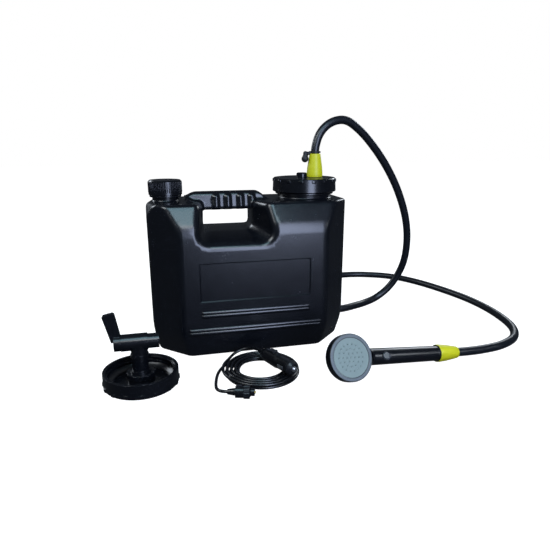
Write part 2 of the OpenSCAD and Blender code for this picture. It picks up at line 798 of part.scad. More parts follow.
module riser_clips() {
    clip_in = barb_r + riser_wall + 0.15;
    color(steel) for (z = [riser_bottom + clip_up, riser_top - clip_up - clip_h]) translate([outlet[0], outlet[1], 0]) {
        ring_at_z(clip_in + clip_t, clip_in, z, z + clip_h);
        for (y = [-2.5, 1.5]) translate([clip_in + clip_t / 2, y, z]) cube([clip_ear, 1, clip_h]);
    }
}

module on_pump() {
    translate([outlet[0], outlet[1], 0]) children();
}

module pump_top_cap() {
    color(cap_black) difference() {
        union() {
            on_pump() translate([0, 0, housing_top]) cylinder(r = pump_r, h = cap_t);
            on_pump() translate([0, 0, housing_top - 4]) cylinder(r = pump_r - housing_wall - seat_gap, h = 5);
            on_pump() translate([0, 0, housing_top]) cylinder(r = barb_r, h = cap_t + barb_len);
            translate([gland_at[0], gland_at[1], housing_top]) cylinder(r = gland_r, h = cap_t + gland_h);
        }
        on_pump() translate([0, 0, housing_top - 5]) cylinder(r = barb_r - 1.8, h = cap_t + barb_len + 6);
        translate([gland_at[0], gland_at[1], housing_top + cap_t]) cylinder(r = cable_r + 0.1, h = gland_h + 1);
    }
}

module pump_housing() {
    color(cap_black) on_pump() difference() {
        translate([0, 0, housing_z]) cylinder(r = pump_r, h = pump_len);
        translate([0, 0, housing_z + inlet_t]) cylinder(r = pump_r - housing_wall, h = pump_len);
        translate([0, 0, housing_z - 1]) cylinder(r = inlet_r, h = inlet_t + 2);
    }
}

module pump_strainer() {
    slots = 12;
    color(cap_black) on_pump() difference() {
        translate([0, 0, pump_z]) cylinder(r = pump_r, h = strainer_h);
        translate([0, 0, pump_z + 2]) cylinder(r = pump_r - 2, h = strainer_h);
        for (i = [0 : slots - 1]) rotate(360 * i / slots)
            translate([pump_r - 4, -1.2, pump_z + 3]) cube([8, 2.4, strainer_h - 7]);
    }
}

module impeller() {
    vanes = 6;
    color(lime) on_pump() translate([0, 0, impeller_z]) difference() {
        union() {
            translate([0, 0, impeller_h - 1.5]) cylinder(r = impeller_r, h = 1.5);
            cylinder(r = 3.6, h = impeller_h);
            for (i = [0 : vanes - 1]) rotate(360 * i / vanes) translate([3, 0.6, 0])
                rotate(28) cube([impeller_r - 4.5, 1.2, impeller_h - 1]);
        }
        translate([0, 0, -1]) cylinder(r = shaft_r + 0.02, h = impeller_h + 2);
    }
}

module motor_can() {
    fin_r = pump_r - housing_wall - seat_gap;
    color(steel) on_pump() difference() {
        union() {
            translate([0, 0, motor_z]) cylinder(r = motor_r, h = motor_top - motor_z);
            for (i = [0 : 2]) rotate(120 * i + 30) translate([motor_r - 1, -1, motor_z + 4])
                cube([fin_r - motor_r + 0.9, 2, motor_top - motor_z - 8]);
        }
        translate([0, 0, motor_z - 1]) cylinder(r = motor_r - motor_wall, h = motor_top - motor_z - motor_wall - 4);
        translate([0, 0, motor_z]) cylinder(r = bearing_r + 0.05, h = motor_top - motor_z - motor_wall);
    }
}

module motor_end_plate() {
    color(plate_black) on_pump() difference() {
        union() {
            translate([0, 0, motor_z]) cylinder(r = motor_r - motor_wall - 0.1, h = end_plate_t);
            translate([0, 0, motor_z]) cylinder(r = bearing_r + boss_wall, h = end_plate_t + bearing_len + 1);
        }
        translate([0, 0, motor_z - 1]) cylinder(r = bearing_r + 0.05, h = end_plate_t + bearing_len + 3);
    }
}

module motor_shaft() {
    color(steel) on_pump() translate([0, 0, impeller_z]) cylinder(r = shaft_r, h = shaft_top - impeller_z);
}

module rotor_core() {
    z0 = motor_z + end_plate_t + bearing_len + 4;
    z1 = motor_top - motor_wall - 8;
    color(copper) on_pump() ring_at_z(motor_r - 5.4, shaft_r + 0.02, z0, z1);
}

module motor_magnets() {
    z0 = motor_z + end_plate_t + bearing_len + 3;
    z1 = motor_top - motor_wall - 7;
    color(plate_black) on_pump() difference() {
        ring_at_z(motor_r - motor_wall - 0.1, motor_r - 4.6, z0, z1);
        for (a = [0, 180]) rotate(a) translate([motor_r - 3, 0, (z0 + z1) / 2]) cube([10, 4, z1 - z0 + 2], center = true);
    }
}

module motor_bearings() {
    low = motor_z + end_plate_t + 0.5;
    high = motor_top - motor_wall - 4;
    color(brass) on_pump() for (z = [low, high]) ring_at_z(bearing_r, shaft_r + run_gap, z, z + bearing_len - 0.2);
}

module shaft_seal() {
    color(rubber_black) on_pump() ring_at_z(bearing_r, shaft_r + run_gap, motor_z + 0.3, motor_z + end_plate_t);
}

// Route of the pump's cable from the socket's shank to the gland on the pump
cable_from = [socket[0], socket[1], gasket_top - socket_shank - cable_straight];
cable_to = [gland_at[0], gland_at[1], housing_top + cap_t + gland_h + cable_rise];
cable_route = concat(
    [[socket[0], socket[1], gasket_top - socket_shank - seat_gap], cable_from],
    [for (t = [0.15, 0.4, 0.65, 0.88]) let (ease = t * t * (3 - 2 * t)) [
        cable_from[0] + ease * (cable_to[0] - cable_from[0]), cable_from[1] + ease * (cable_to[1] - cable_from[1]),
        cable_from[2] + t * (cable_to[2] - cable_from[2])]],
    [cable_to, [gland_at[0], gland_at[1], housing_top + cap_t + 0.5]]);

module pump_cable() {
    color(rubber_black) tube_along(smooth_path(cable_route, 3), cable_r, 8);
}

// Hand shower, in its own frame: handle along +X, face towards -Y
module head_turned() {
    rotate([90, 0, 0]) children();
}

module handset_shell() {
    color(cap_black) in_handset() difference() {
        union() {
            head_turned() translate([0, 0, -rim_back]) cylinder(r = head_r, h = rim_back - rim_front);
            head_turned() translate([0, 0, -rim_back - 8]) cylinder(r1 = 18, r2 = head_r, h = 8);
            translate([head_r - 14, grip_y, 0]) rotate([0, 90, 0]) cylinder(r = grip_r, h = grip_len - head_r + 14);
            translate([grip_len, grip_y, 0]) rotate([0, 90, 0]) hose_stub(-2);
            translate([grip_len - 14, grip_y, 0]) rotate([0, 90, 0])
                cylinder(r1 = grip_r, r2 = seat_flange_r, h = 14);
        }
        head_turned() translate([0, 0, -rim_front]) cylinder(r = head_r + gap, h = 20);
        head_turned() translate([0, 0, -rim_back]) cylinder(r = head_r - head_wall, h = rim_back - rim_front + 1);
        head_turned() translate([0, 0, -rim_back - 8 + head_wall])
            cylinder(r1 = 18 - head_wall, r2 = head_r - head_wall, h = 8 - head_wall + eps);
        translate([head_r - 16, grip_y, 0]) rotate([0, 90, 0])
            cylinder(r = grip_bore_r, h = grip_len - head_r + 16 - 4);
        translate([grip_len - 6, grip_y, 0]) rotate([0, 90, 0]) cylinder(r = water_bore_r, h = stub_len + 8);
        translate([button_x, grip_y - grip_r - 1, 0]) rotate([-90, 0, 0])
            cylinder(r = button_r + gap, h = 1 + button_well);
        translate([button_x, grip_y - grip_r, 0]) rotate([-90, 0, 0]) cylinder(r = 2 + run_gap, h = grip_r);
    }
}

module handset_bezel() {
    seat = -rim_front;
    color(plate_black) in_handset() head_turned() difference() {
        union() {
            translate([0, 0, seat]) cylinder(r = head_r, h = -bezel_front - seat - 2);
            translate([0, 0, -bezel_front - 2]) cylinder(r1 = head_r, r2 = head_r - 2, h = 2);
        }
        translate([0, 0, seat - 1]) cylinder(r = bezel_in_r + 1.5, h = 1 + spray_t + mat_t);
        translate([0, 0, seat]) cylinder(r = bezel_in_r, h = -bezel_front - seat + 1);
    }
}

// Places of the spray nozzles on the face
module at_nozzles() {
    for (ring = [0 : nozzle_rings - 1]) for (i = [0 : max(6 * ring, 1) - 1])
        rotate(360 * i / max(6 * ring, 1)) translate([ring * nozzle_pitch, 0, 0]) children();
}

module spray_plate() {
    seat = -rim_front + mat_t;
    color(face_grey) in_handset() head_turned() difference() {
        union() {
            translate([0, 0, seat]) cylinder(r = bezel_in_r + 1.5 - seat_gap, h = spray_t - 0.1);
            translate([0, 0, seat]) cylinder(r = bezel_in_r - seat_gap, h = spray_t + 0.6);
        }
        at_nozzles() translate([0, 0, seat - 1]) cylinder(r = nozzle_r + 0.1, h = spray_t + 3, $fn = 24);
    }
}

module nozzle_mat() {
    seat = -rim_front;
    color(rubber_black) in_handset() head_turned() {
        translate([0, 0, seat]) cylinder(r = bezel_in_r + 1.5 - seat_gap, h = mat_t);
        at_nozzles() translate([0, 0, seat + mat_t - 0.2]) cylinder(r = nozzle_r, h = spray_t + 1.3, $fn = 24);
    }
}

module head_seal() {
    seat = -rim_front;
    color(rubber_black) in_handset() head_turned()
        ring_at_z(head_r - head_wall - seat_gap, head_r - head_wall - 2.6, seat - 2.4, seat);
}

module flow_button() {
    color(plate_black) in_handset() translate([button_x, grip_y - grip_r, 0]) rotate([-90, 0, 0]) {
        translate([0, 0, -button_up]) cylinder(r1 = button_r - 1, r2 = button_r, h = 1);
        translate([0, 0, 1 - button_up]) cylinder(r = button_r, h = button_well - spring_room - 1 + button_up);
        cylinder(r = 2, h = grip_r - grip_bore_r + 3);
    }
}

// A compression spring: one wire wound round Z
module coil_spring(r, wire, h, curls) {
    rings = 8;
    path = [for (i = [0 : rings * curls]) let (a = 360 * i / rings, z = wire + (h - 2 * wire) * i / (rings * curls))
        [r * cos(a), r * sin(a), z]];
    tube_along(path, wire, 6);
}

module button_spring() {
    color(steel) in_handset() translate([button_x, grip_y - grip_r + button_well, 0]) rotate([90, 0, 0])
        translate([0, 0, 0.05]) coil_spring(3.6, 0.3, spring_room - 0.1, 1.5);
}

// Spare tap lid, lying on its flat top
module tap_cap() {
    color(cap_black) translate([tap_x, tap_y, 0]) {
        difference() {
            union() {
                cylinder(r1 = lid_r - 3.2, r2 = lid_r - 1.2, h = 2);
                translate([0, 0, 2]) cylinder(r = lid_r - 1.2, h = lid_h - 2);
                lid_grips(2, 5);
            }
            translate([0, 0, lid_roof_t]) difference() {
                cylinder(r = lid_bore_r, h = lid_h);
                translate([0, 0, -1]) cylinder(r = tap_boss_r, h = tap_boss_top - lid_roof_t + 1);
            }
            translate([0, 0, lid_roof_t]) cylinder(r = stem_r + seat_gap, h = lid_h);
            translate([0, 0, -1]) cylinder(r = stem_r - 3, h = lid_roof_t + 2);
        }
        screw_ridge(lid_bore_r + 0.4, lid_ridge_r, lid_h - 3 - lid_pitch * 1.2, lid_pitch, 1.2, 2.6, 1.8);
    }
}

module tap_gasket() {
    color(rubber_black) translate([tap_x, tap_y, 0])
        ring_at_z(lid_bore_r - gap, neck_bore_r - 2, lid_roof_t, lid_roof_t + gasket_t);
}

module tap_nut() {
    color(cap_black) translate([tap_x, tap_y, tap_boss_top]) difference() {
        fluted(tap_nut_r, 12, 1.6, tap_nut_t);
        translate([0, 0, -1]) cylinder(r = stem_r + seat_gap, h = tap_nut_t + 2);
    }
}

module along_barrel(x) {
    translate([x, tap_y, tap_axis_z]) rotate([0, 90, 0]) children();
}

module tap_body() {
    color(cap_black) difference() {
        union() {
            translate([tap_x, tap_y, lid_roof_t + gap]) cylinder(r = stem_r, h = tap_axis_z - lid_roof_t - gap);
            translate([tap_x, tap_y, tap_flange_z]) cylinder(r = stem_r + 2.4, h = tap_flange_t);
            translate([tap_x, tap_y, tap_axis_z - barrel_r - 9]) cylinder(r = stem_r + 1.2, h = 3);
            along_barrel(barrel_x0) cylinder(r = barrel_r, h = barrel_len - spout_len);
            along_barrel(barrel_x1 - spout_len - 0.5) cylinder(r = tap_outlet_r, h = spout_len + 0.5);
        }
        translate([tap_x, tap_y, lid_roof_t - 1]) cylinder(r = stem_r - 3, h = tap_axis_z - lid_roof_t);
        along_barrel(barrel_x0 - 1) cylinder(r = tap_plug_r + run_gap, h = plug_len + 1.5);
        along_barrel(barrel_x0 - 1) cylinder(r = tap_plug_r - 1.2, h = barrel_len + 2);
    }
}

module tap_plug() {
    color(plate_black) difference() {
        along_barrel(barrel_x0) cylinder(r = tap_plug_r, h = plug_len);
        along_barrel(barrel_x0 + 10) cylinder(r = tap_plug_r - 2.4, h = plug_len);
        translate([tap_x, tap_y, tap_axis_z - tap_plug_r - 1]) cylinder(r = 5, h = tap_plug_r);
        along_barrel(barrel_x0 - 1) cylinder(r = 1.9, h = 9);
        for (x = [3, 26]) along_barrel(barrel_x0 + x) difference() {
            cylinder(r = tap_plug_r + 1, h = 1.8);
            translate([0, 0, -1]) cylinder(r = tap_plug_r - 1.2, h = 4);
        }
    }
}

module tap_o_rings() {
    color(rubber_black) for (x = [3, 26]) along_barrel(barrel_x0 + x)
        ring_at_z(tap_plug_r - 0.02, tap_plug_r - 1.15, 0.1, 1.7);
}

module tap_lever() {
    foot = 14;
    color(cap_black) difference() {
        union() {
            along_barrel(barrel_x0 - gap - lever_hub_t) cylinder(r = barrel_r - 0.8, h = lever_hub_t);
            translate([barrel_x0 - gap - lever_hub_t / 2, tap_y, tap_axis_z]) rotate([0, -lever_lean, 0])
                rotate([90, 0, 0]) linear_extrude(7, center = true) polygon([
                    [-foot / 2, 0], [foot / 2, 0], [lever_w / 2, lever_len - 2], [lever_w / 2 - 2, lever_len],
                    [-lever_w / 2 + 2, lever_len], [-lever_w / 2, lever_len - 2]]);
        }
        along_barrel(barrel_x0 - gap - lever_hub_t - 1) cylinder(r = 1.9, h = lever_hub_t + 3);
        along_barrel(barrel_x0 - gap - lever_hub_t - 6) cylinder(r = 4.2, h = 9);
        along_barrel(barrel_x0 - gap) cylinder(r = barrel_r + 2 * gap, h = 20);
    }
}

module tap_lever_screw() {
    head = barrel_x0 - gap - lever_hub_t + 3;
    color(steel) {
        along_barrel(head - 2.4) difference() {
            cylinder(r = 3.8, h = 2.4);
            translate([0, 0, -1]) cylinder(r = 1.5, h = 2.2, $fn = 6);
        }
        along_barrel(head - 0.1) cylinder(r = 1.85, h = barrel_x0 + 7 - head);
    }
}

// Lead: a coil of two layers, spiralling in on top, stepping down and spiralling out below
function coil_r(u) = u < coil_loops - 0.25 ? coil_out_r - coil_step * u
    : u < coil_loops + 0.25 ? coil_in_r : coil_in_r + coil_step * (u - coil_loops - 0.25);
function coil_drop(u) = let (t = min(max((u - coil_loops + 0.25) / 0.5, 0), 1)) t * t * (3 - 2 * t);
function coil_point(u) = let (a = coil_start_angle + 360 * u, r = coil_r(u)) [
    coil_at[0] + coil_wide * r * cos(a), coil_at[1] + coil_deep * r * sin(a),
    lead_rest_z + coil_layer * (1 - coil_drop(u))];
coil_rings = 24;
coil_path = [for (i = [0 : coil_turns * coil_rings]) coil_point(i / coil_rings)];
coil_gap = min([for (i = [0 : len(coil_path) - 1]) for (j = [i + 8 : 1 : len(coil_path) - 1])
    norm(coil_path[i] - coil_path[j])]) - 2 * lead_r;

module lead_coil() {
    echo(coil_gap = coil_gap, coil_length = path_length(coil_path));
    color(rubber_black) tube_along(coil_path, lead_r, 6);
}

// Route of the lead's free end, from the coil's lower layer to the connector
tail_route = concat(
    [coil_point(coil_turns), [-59, -120, lead_rest_z]],
    [[-66, -130, lead_rest_z], [-71.5, -140.5, lead_rest_z], [-75.8, -153, lead_rest_z], [-79.2, -168, lead_rest_z],
    [-81.4, -183, 2.8], [-81.8, -196.5, 5], [-78.4, -208.8, 7.9]],
    [for (s = [-1, 4]) connector_point(s)]);

module lead_tail() {
    echo(tail_length = path_length(tail_route));
    color(rubber_black) tube_along(smooth_path(tail_route, 2), lead_r, 8);
}

// Route of the lead from the car plug to the coil's upper layer
plug_run_route = concat(
    [for (s = [-plug_relief_len + 4, -plug_relief_len - 4]) plug_point(s)],
    [[-8.5, -113, 20.5], [-13, -103, 18.3], [-19, -95.5, 15.4], [-28.5, -92, 12.3], [-38, -94, 9.6]],
    [2 * coil_point(0) - coil_point(1 / 24), coil_point(0)]);

module lead_plug_run() {
    echo(plug_run_length = path_length(plug_run_route));
    color(rubber_black) tube_along(smooth_path(plug_run_route, 2), lead_r, 8);
}

module in_connector() {
    translate(connector_at) rotate(connector_turn) rotate([0, 90, 0]) children();
}

module lead_connector() {
    color(cap_black) in_connector() difference() {
        union() {
            cylinder(r1 = lead_r + 1.4, r2 = 5, h = 9);
            translate([0, 0, 9]) cylinder(r = 5, h = 2);
            translate([0, 0, 11]) cylinder(r = connector_r, h = ring_at - 11);
            translate([-connector_r - 1.6, -2.5, 12]) cube([4, 5, 8]);
            translate([0, 0, ring_at - 1]) cylinder(r = connector_r - 2, h = ring_len + 2);
            translate([0, 0, ring_at + ring_len + 2 * gap]) cylinder(r1 = connector_r - 0.8, r2 = 5.3, h = 1.4);
            translate([0, 0, ring_at + ring_len]) cylinder(r = 5.3, h = 7);
        }
        translate([0, 0, -1]) cylinder(r = lead_r + 0.05, h = 5);
        for (y = [-1.8, 1.8]) translate([0, y, ring_at]) cylinder(r = 1.1, h = 20);
        translate([0, 0, ring_at + ring_len + 2]) cylinder(r = 4.2, h = 8);
    }
}

module connector_ring() {
    color(plate_black) in_connector() translate([0, 0, ring_at + gap]) difference() {
        fluted(ring_r, 14, 0.6, ring_len);
        translate([0, 0, -1]) cylinder(r = connector_r - 2 + 0.08, h = ring_len + 2);
    }
}

module connector_pins() {
    color(brass) in_connector() for (y = [-1.8, 1.8]) translate([0, y, ring_at + 0.05]) difference() {
        cylinder(r = 1.05, h = ring_len + 8.5);
        translate([0, 0, ring_len + 1]) cylinder(r = 0.7, h = 10);
    }
}

module in_car_plug() {
    translate(plug_at) rotate(plug_turn) rotate([0, 90, 0]) children();
}

plug_nose_start = plug_body_len;
plug_tip_end = plug_nose_start + plug_nose_len;
rocker_at = 20;
rocker_l = 15;
rocker_w = 9;
rocker_pin_r = 1.2;
rocker_pin_len = rocker_w + 3;
tip_r = 4;
side_contact_at = plug_nose_start + 9;

module car_plug_body() {
    color(cap_black) in_car_plug() difference() {
        union() {
            translate([0, 0, -plug_relief_len]) cylinder(r1 = lead_r + 1.2, r2 = 6, h = plug_relief_len);
            cylinder(r1 = plug_r - 4, r2 = plug_r - 1, h = 6);
            translate([0, 0, 6]) cylinder(r1 = plug_r - 1, r2 = plug_r, h = plug_body_len - 14);
            translate([0, 0, plug_body_len - 8]) cylinder(r1 = plug_r, r2 = plug_r - 1.5, h = 8);
            translate([0, 0, plug_nose_start - 1]) cylinder(r = nose_r, h = 19);
        }
        translate([0, 0, -plug_relief_len - 1]) cylinder(r = lead_r + 0.05, h = 5);
        translate([-plug_r - 5, -rocker_w / 2 - gap, rocker_at - rocker_l / 2 - gap])
            cube([13, rocker_w + 2 * gap, rocker_l + 2 * gap]);
        translate([-plug_r + 4, 0, rocker_at]) rotate([90, 0, 0])
            cylinder(r = rocker_pin_r + run_gap, h = rocker_pin_len + 2 * gap, center = true);
        translate([0, 0, plug_nose_start - 4]) cylinder(r = 5.2, h = 40);
        for (y = [-1, 1]) translate([-2.2, y > 0 ? 6.2 : -nose_r - 3, side_contact_at - 6.3])
            cube([4.4, nose_r - 3.2, 12.6]);
    }
}

module car_plug_nose() {
    start = plug_nose_start + 18.2;
    color(plate_black) in_car_plug() translate([0, 0, start]) difference() {
        union() {
            cylinder(r = nose_r, h = 5);
            translate([0, 0, 5]) cylinder(r1 = nose_r, r2 = nose_r - 3, h = plug_tip_end - start - 5);
        }
        translate([0, 0, -1]) cylinder(r = 5.2, h = 4);
        translate([0, 0, -1]) cylinder(r = tip_r + 0.08, h = 30);
    }
}

module car_plug_tip() {
    color(steel) in_car_plug() {
        translate([0, 0, plug_tip_end - 4]) cylinder(r = tip_r, h = 6);
        translate([0, 0, plug_tip_end + 2]) cylinder(r1 = tip_r, r2 = 2.2, h = 2);
        translate([0, 0, plug_nose_start + 15.5]) cylinder(r = 4.8, h = 2);
        translate([0, 0, plug_nose_start + 17]) cylinder(r = tip_r, h = plug_tip_end - plug_nose_start - 20);
    }
}

module car_plug_fuse() {
    color(milky) in_car_plug() translate([0, 0, plug_nose_start - 3.5]) cylinder(r = 4.6, h = 10);
}

module tip_spring() {
    start = plug_nose_start + 6.55;
    color(steel) in_car_plug() translate([0, 0, start]) coil_spring(3.9, 0.4, 8.9, 4);
}

module side_contacts() {
    color(steel) in_car_plug() for (y = [-1, 1]) translate([0, y * (nose_r - 1.2), side_contact_at])
        rotate([0, 90, 0]) linear_extrude(4, center = true) intersection() {
            translate([0, -y * 21.2]) circle(24);
            translate([-6, y > 0 ? -2.4 : -3.2]) square([12, 5.6]);
        }
}

module rocker_switch() {
    color(plate_black) in_car_plug() translate([-plug_r + 4, 0, rocker_at]) rotate([90, 0, 0]) {
        linear_extrude(rocker_w, center = true) polygon([[3.4, -2], [3.4, 2], [-2.4, rocker_l / 2 - 0.4],
            [-6.2, rocker_l / 2 - 1.8], [-4.4, 0], [-4.4, -rocker_l / 2 + 0.4], [-0.6, -rocker_l / 2 + 0.4]]);
        cylinder(r = rocker_pin_r, h = rocker_pin_len, center = true);
    }
}

can_body();
filler_cap();
filler_liner();
lid_ring();
lid_slip_ring();
port_plate();
lid_gasket();
outlet_spigot();
spigot_nut();
power_socket();
socket_nut();
socket_pins();
dust_plug();
lid_hose_nut();
hose_tails();
hose_washers();
shower_hose();
riser_tube();
riser_clips();
pump_top_cap();
pump_housing();
pump_strainer();
impeller();
motor_can();
motor_end_plate();
motor_shaft();
rotor_core();
motor_magnets();
motor_bearings();
shaft_seal();
pump_cable();
handset_shell();
handset_bezel();
spray_plate();
nozzle_mat();
head_seal();
flow_button();
button_spring();
handset_hose_nut();
tap_cap();
tap_gasket();
tap_body();
tap_nut();
tap_plug();
tap_o_rings();
tap_lever();
tap_lever_screw();
lead_coil();
lead_tail();
lead_plug_run();
lead_connector();
connector_ring();
connector_pins();
car_plug_body();
car_plug_nose();
car_plug_tip();
car_plug_fuse();
tip_spring();
side_contacts();
rocker_switch();
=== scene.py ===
"""Looks of a camp shower kit: jerry can, pump lid, hose and hand shower, tap lid and 12 V lead."""

import math

import bmesh
import bpy
import numpy as np
import openvdb
from bpy.props import FloatProperty, FloatVectorProperty, IntProperty, PointerProperty
from mathutils import Euler, Matrix, Vector


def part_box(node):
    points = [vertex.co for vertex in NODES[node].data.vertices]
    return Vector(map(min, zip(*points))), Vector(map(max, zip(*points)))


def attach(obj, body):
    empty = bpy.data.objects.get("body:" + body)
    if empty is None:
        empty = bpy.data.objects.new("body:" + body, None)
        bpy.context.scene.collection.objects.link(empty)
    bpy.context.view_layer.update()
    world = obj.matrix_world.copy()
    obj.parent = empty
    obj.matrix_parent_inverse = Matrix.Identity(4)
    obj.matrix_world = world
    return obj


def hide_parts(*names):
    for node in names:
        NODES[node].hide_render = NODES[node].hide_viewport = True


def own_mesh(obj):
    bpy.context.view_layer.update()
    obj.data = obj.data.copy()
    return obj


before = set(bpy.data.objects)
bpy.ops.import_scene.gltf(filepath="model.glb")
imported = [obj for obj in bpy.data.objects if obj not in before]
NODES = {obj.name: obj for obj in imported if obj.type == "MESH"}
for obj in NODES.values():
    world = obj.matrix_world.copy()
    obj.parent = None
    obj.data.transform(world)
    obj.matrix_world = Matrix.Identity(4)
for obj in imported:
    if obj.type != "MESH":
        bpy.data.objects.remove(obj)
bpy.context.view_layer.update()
STILL_BODY = "kit"

bl_info = {
    "name": "Camp Shower Kit",
    "version": (1, 0, 0),
    "blender": (4, 5, 0),
    "location": "View3D > Sidebar > Camp Shower",
    "description": "Dresses a jerry can shower with its hose, hand shower, tap lid and 12 V lead",
    "category": "Object",
}

MM = 0.001
LENGTH = {"subtype": "DISTANCE", "unit": "LENGTH"}

# Route of the shower hose between its two straight ends, in millimetres
HOSE_FLOOR = 7.3
HOSE_ROUTE = [
    (124, 8.5, 330), (129, 9.5, 343.5), (137.5, 11, 355), (149, 13, 363.5), (163, 15.5, 368.5),
    (178, 18.5, 369), (194, 22, 363), (222, 29, 343), (256, 39, 310), (286, 48, 273), (311, 56, 233),
    (331, 64, 189), (343, 73, 145), (346, 83, 100), (339, 93, 64), (322, 100, 34), (297, 102, 14),
    (268, 94, HOSE_FLOOR), (238, 80, HOSE_FLOOR), (210, 70, HOSE_FLOOR), (183, 69, HOSE_FLOOR),
    (158, 83, HOSE_FLOOR), (143, 112, HOSE_FLOOR), (144, 160, HOSE_FLOOR), (165, 220, HOSE_FLOOR),
    (203, 267, HOSE_FLOOR), (255, 300, HOSE_FLOOR), (315, 308, HOSE_FLOOR), (370, 294, HOSE_FLOOR),
    (418, 262, HOSE_FLOOR), (453, 205, HOSE_FLOOR), (478, 130, HOSE_FLOOR), (492, 55, HOSE_FLOOR),
    (491, -20, HOSE_FLOOR), (474, -93, HOSE_FLOOR), (443, -140, HOSE_FLOOR), (400, -165, HOSE_FLOOR),
    (352, -174, HOSE_FLOOR),
]
# Route of the lead from its connector to the coil's lower layer, and from its upper layer to the plug
LEAD_FLOOR = 2.3
LEAD_TAIL = [
    (-78.4, -208.8, 7.9), (-81.8, -196.5, 5), (-81.4, -183, 2.8), (-79.2, -168, LEAD_FLOOR),
    (-75.8, -153, LEAD_FLOOR), (-71.5, -140.5, LEAD_FLOOR), (-66, -130, LEAD_FLOOR),
    (-59, -120, LEAD_FLOOR),
]
LEAD_PLUG_RUN = [
    (-38, -94, 9.6), (-28.5, -92, 12.3), (-19, -95.5, 15.4), (-13, -103, 18.3), (-8.5, -113, 20.5),
]


def size(name, note, default):
    """A length that a user may change."""
    return FloatProperty(name=name, description=note, default=default, precision=4, **LENGTH)


def tint(name, note, default):
    """A colour that a user may change."""
    return FloatVectorProperty(name=name, description=note, default=default, subtype="COLOR", min=0, max=1)


class CanSizes(bpy.types.PropertyGroup):
    """Sizes of the jerry can."""

    width: size("Width", "Width of the can along its front", 0.325)
    depth: size("Depth", "Depth of the can, front to back", 0.166)
    corner_cut: size("Corner cut", "Length cut off each upright corner, along the sides", 0.0455)
    crease: size("Crease", "Radius of the upright creases", 0.014)
    shoulder: size("Shoulder", "Height where the shoulders start", 0.205)
    top: size("Top", "Height of the top face", 0.2425)
    top_inset: size("Top inset", "How far the top face is set in at the front and back", 0.021)
    base_height: size("Base height", "Height over which the base is drawn in", 0.040)
    gap_left: size("Gap left", "Left end of the hand gap", -0.074)
    gap_right: size("Gap right", "Right end of the hand gap", 0.0055)
    gap_floor: size("Gap floor", "Floor of the hand gap", 0.194)
    gap_lip: size("Gap lip", "Width of the bevel round the hand gap", 0.0050)
    handle_under: size("Handle underside", "Height of the handle's underside", 0.227)
    handle_top: size("Handle top", "Height of the handle's top", 0.256)
    panel_width: size("Panel width", "Width of the bare front panel", 0.175)
    panel_height: size("Panel height", "Height of the bare front panel", 0.059)
    panel_middle: size("Panel middle", "Height of the panel's middle", 0.124)
    panel_depth: size("Panel depth", "Depth of the panel", 0.0016)
    detail: size("Detail", "Grid step that the can's skin is drawn at", 0.0012)


class CordSizes(bpy.types.PropertyGroup):
    """Sizes of the hose and the lead."""

    hose_radius: size("Hose radius", "Outer radius of the hose", 0.007)
    lead_radius: size("Lead radius", "Outer radius of the lead", 0.00225)
    coil_loops: IntProperty(name="Loops", description="Loops in each layer of the lead's coil", default=4)
    coil_step: size("Loop step", "Step from loop to loop", 0.006)
    coil_layer: size("Layer step", "Step from layer to layer", 0.0053)
    coil_inner: size("Coil inside", "Radius of the innermost loop", 0.033)


class KitColours(bpy.types.PropertyGroup):
    can: tint("Can", "Blow-moulded black plastic", (0.0022, 0.0028, 0.0045))
    cap: tint("Caps", "Black plastic of the lids and the tap", (0.0022, 0.0027, 0.0042))
    lime: tint("Lime", "Yellow-green plastic of the hose nuts", (0.48, 0.46, 0.004))
    rubber: tint("Rubber", "Black rubber of the seals", (0.0025, 0.0028, 0.0038))
    hose: tint("Hose", "Dark rubber of the hose", (0.0035, 0.0048, 0.0075))
    face: tint("Spray face", "Grey plastic of the spray face", (0.142, 0.188, 0.176))
    bezel: tint("Bezel", "Grey plastic of the spray face's rim", (0.075, 0.090, 0.100))
    brass: tint("Brass", "Brass fittings", (0.62, 0.44, 0.16))
    steel: tint("Steel", "Steel parts", (0.55, 0.56, 0.58))
    milky: tint("Milky", "Milky plastic inside", (0.70, 0.73, 0.73))
    copper: tint("Copper", "Copper windings of the pump's rotor", (0.45, 0.22, 0.10))
    magnet: tint("Magnet", "Dark magnets of the pump's motor", (0.03, 0.03, 0.035))


class ViewSettings(bpy.types.PropertyGroup):
    """Where the camera stands."""

    place: FloatVectorProperty(name="Place", description="Where the camera stands", subtype="TRANSLATION",
                               default=(-0.1522, -0.8103, 0.3377))
    yaw: FloatProperty(name="Yaw", description="Turn of the view to the right", subtype="ANGLE",
                       default=math.radians(14.01))
    pitch: FloatProperty(name="Pitch", description="Tilt of the view downwards", subtype="ANGLE",
                         default=math.radians(15.46))
    lens: FloatProperty(name="Lens", description="Focal length for a 36 mm frame", default=32.16)


# Mesh helpers

def add_object(name, mesh, material=None):
    """Put a mesh in the scene under a name."""
    made = bpy.data.objects.new(name, mesh)
    bpy.context.scene.collection.objects.link(made)
    if material:
        mesh.materials.append(material)
    return made


def mesh_of(name, points, faces, smooth_angle=None):
    """A mesh from points and faces, smooth shaded apart from edges sharper than the angle."""
    mesh = bpy.data.meshes.new(name)
    mesh.from_pydata([tuple(p) for p in points], [], [tuple(f) for f in faces])
    mesh.update()
    mesh.shade_smooth()
    if smooth_angle:
        mesh.set_sharp_from_angle(angle=math.radians(smooth_angle))
    return mesh


def plain_mesh(made):
    """The object's mesh with its modifiers taken in; the object goes."""
    graph = bpy.context.evaluated_depsgraph_get()
    shown = made.evaluated_get(graph)
    mesh = bpy.data.meshes.new_from_object(shown, preserve_all_data_layers=True, depsgraph=graph)
    made.modifiers.clear()
    bpy.data.objects.remove(made)
    return mesh


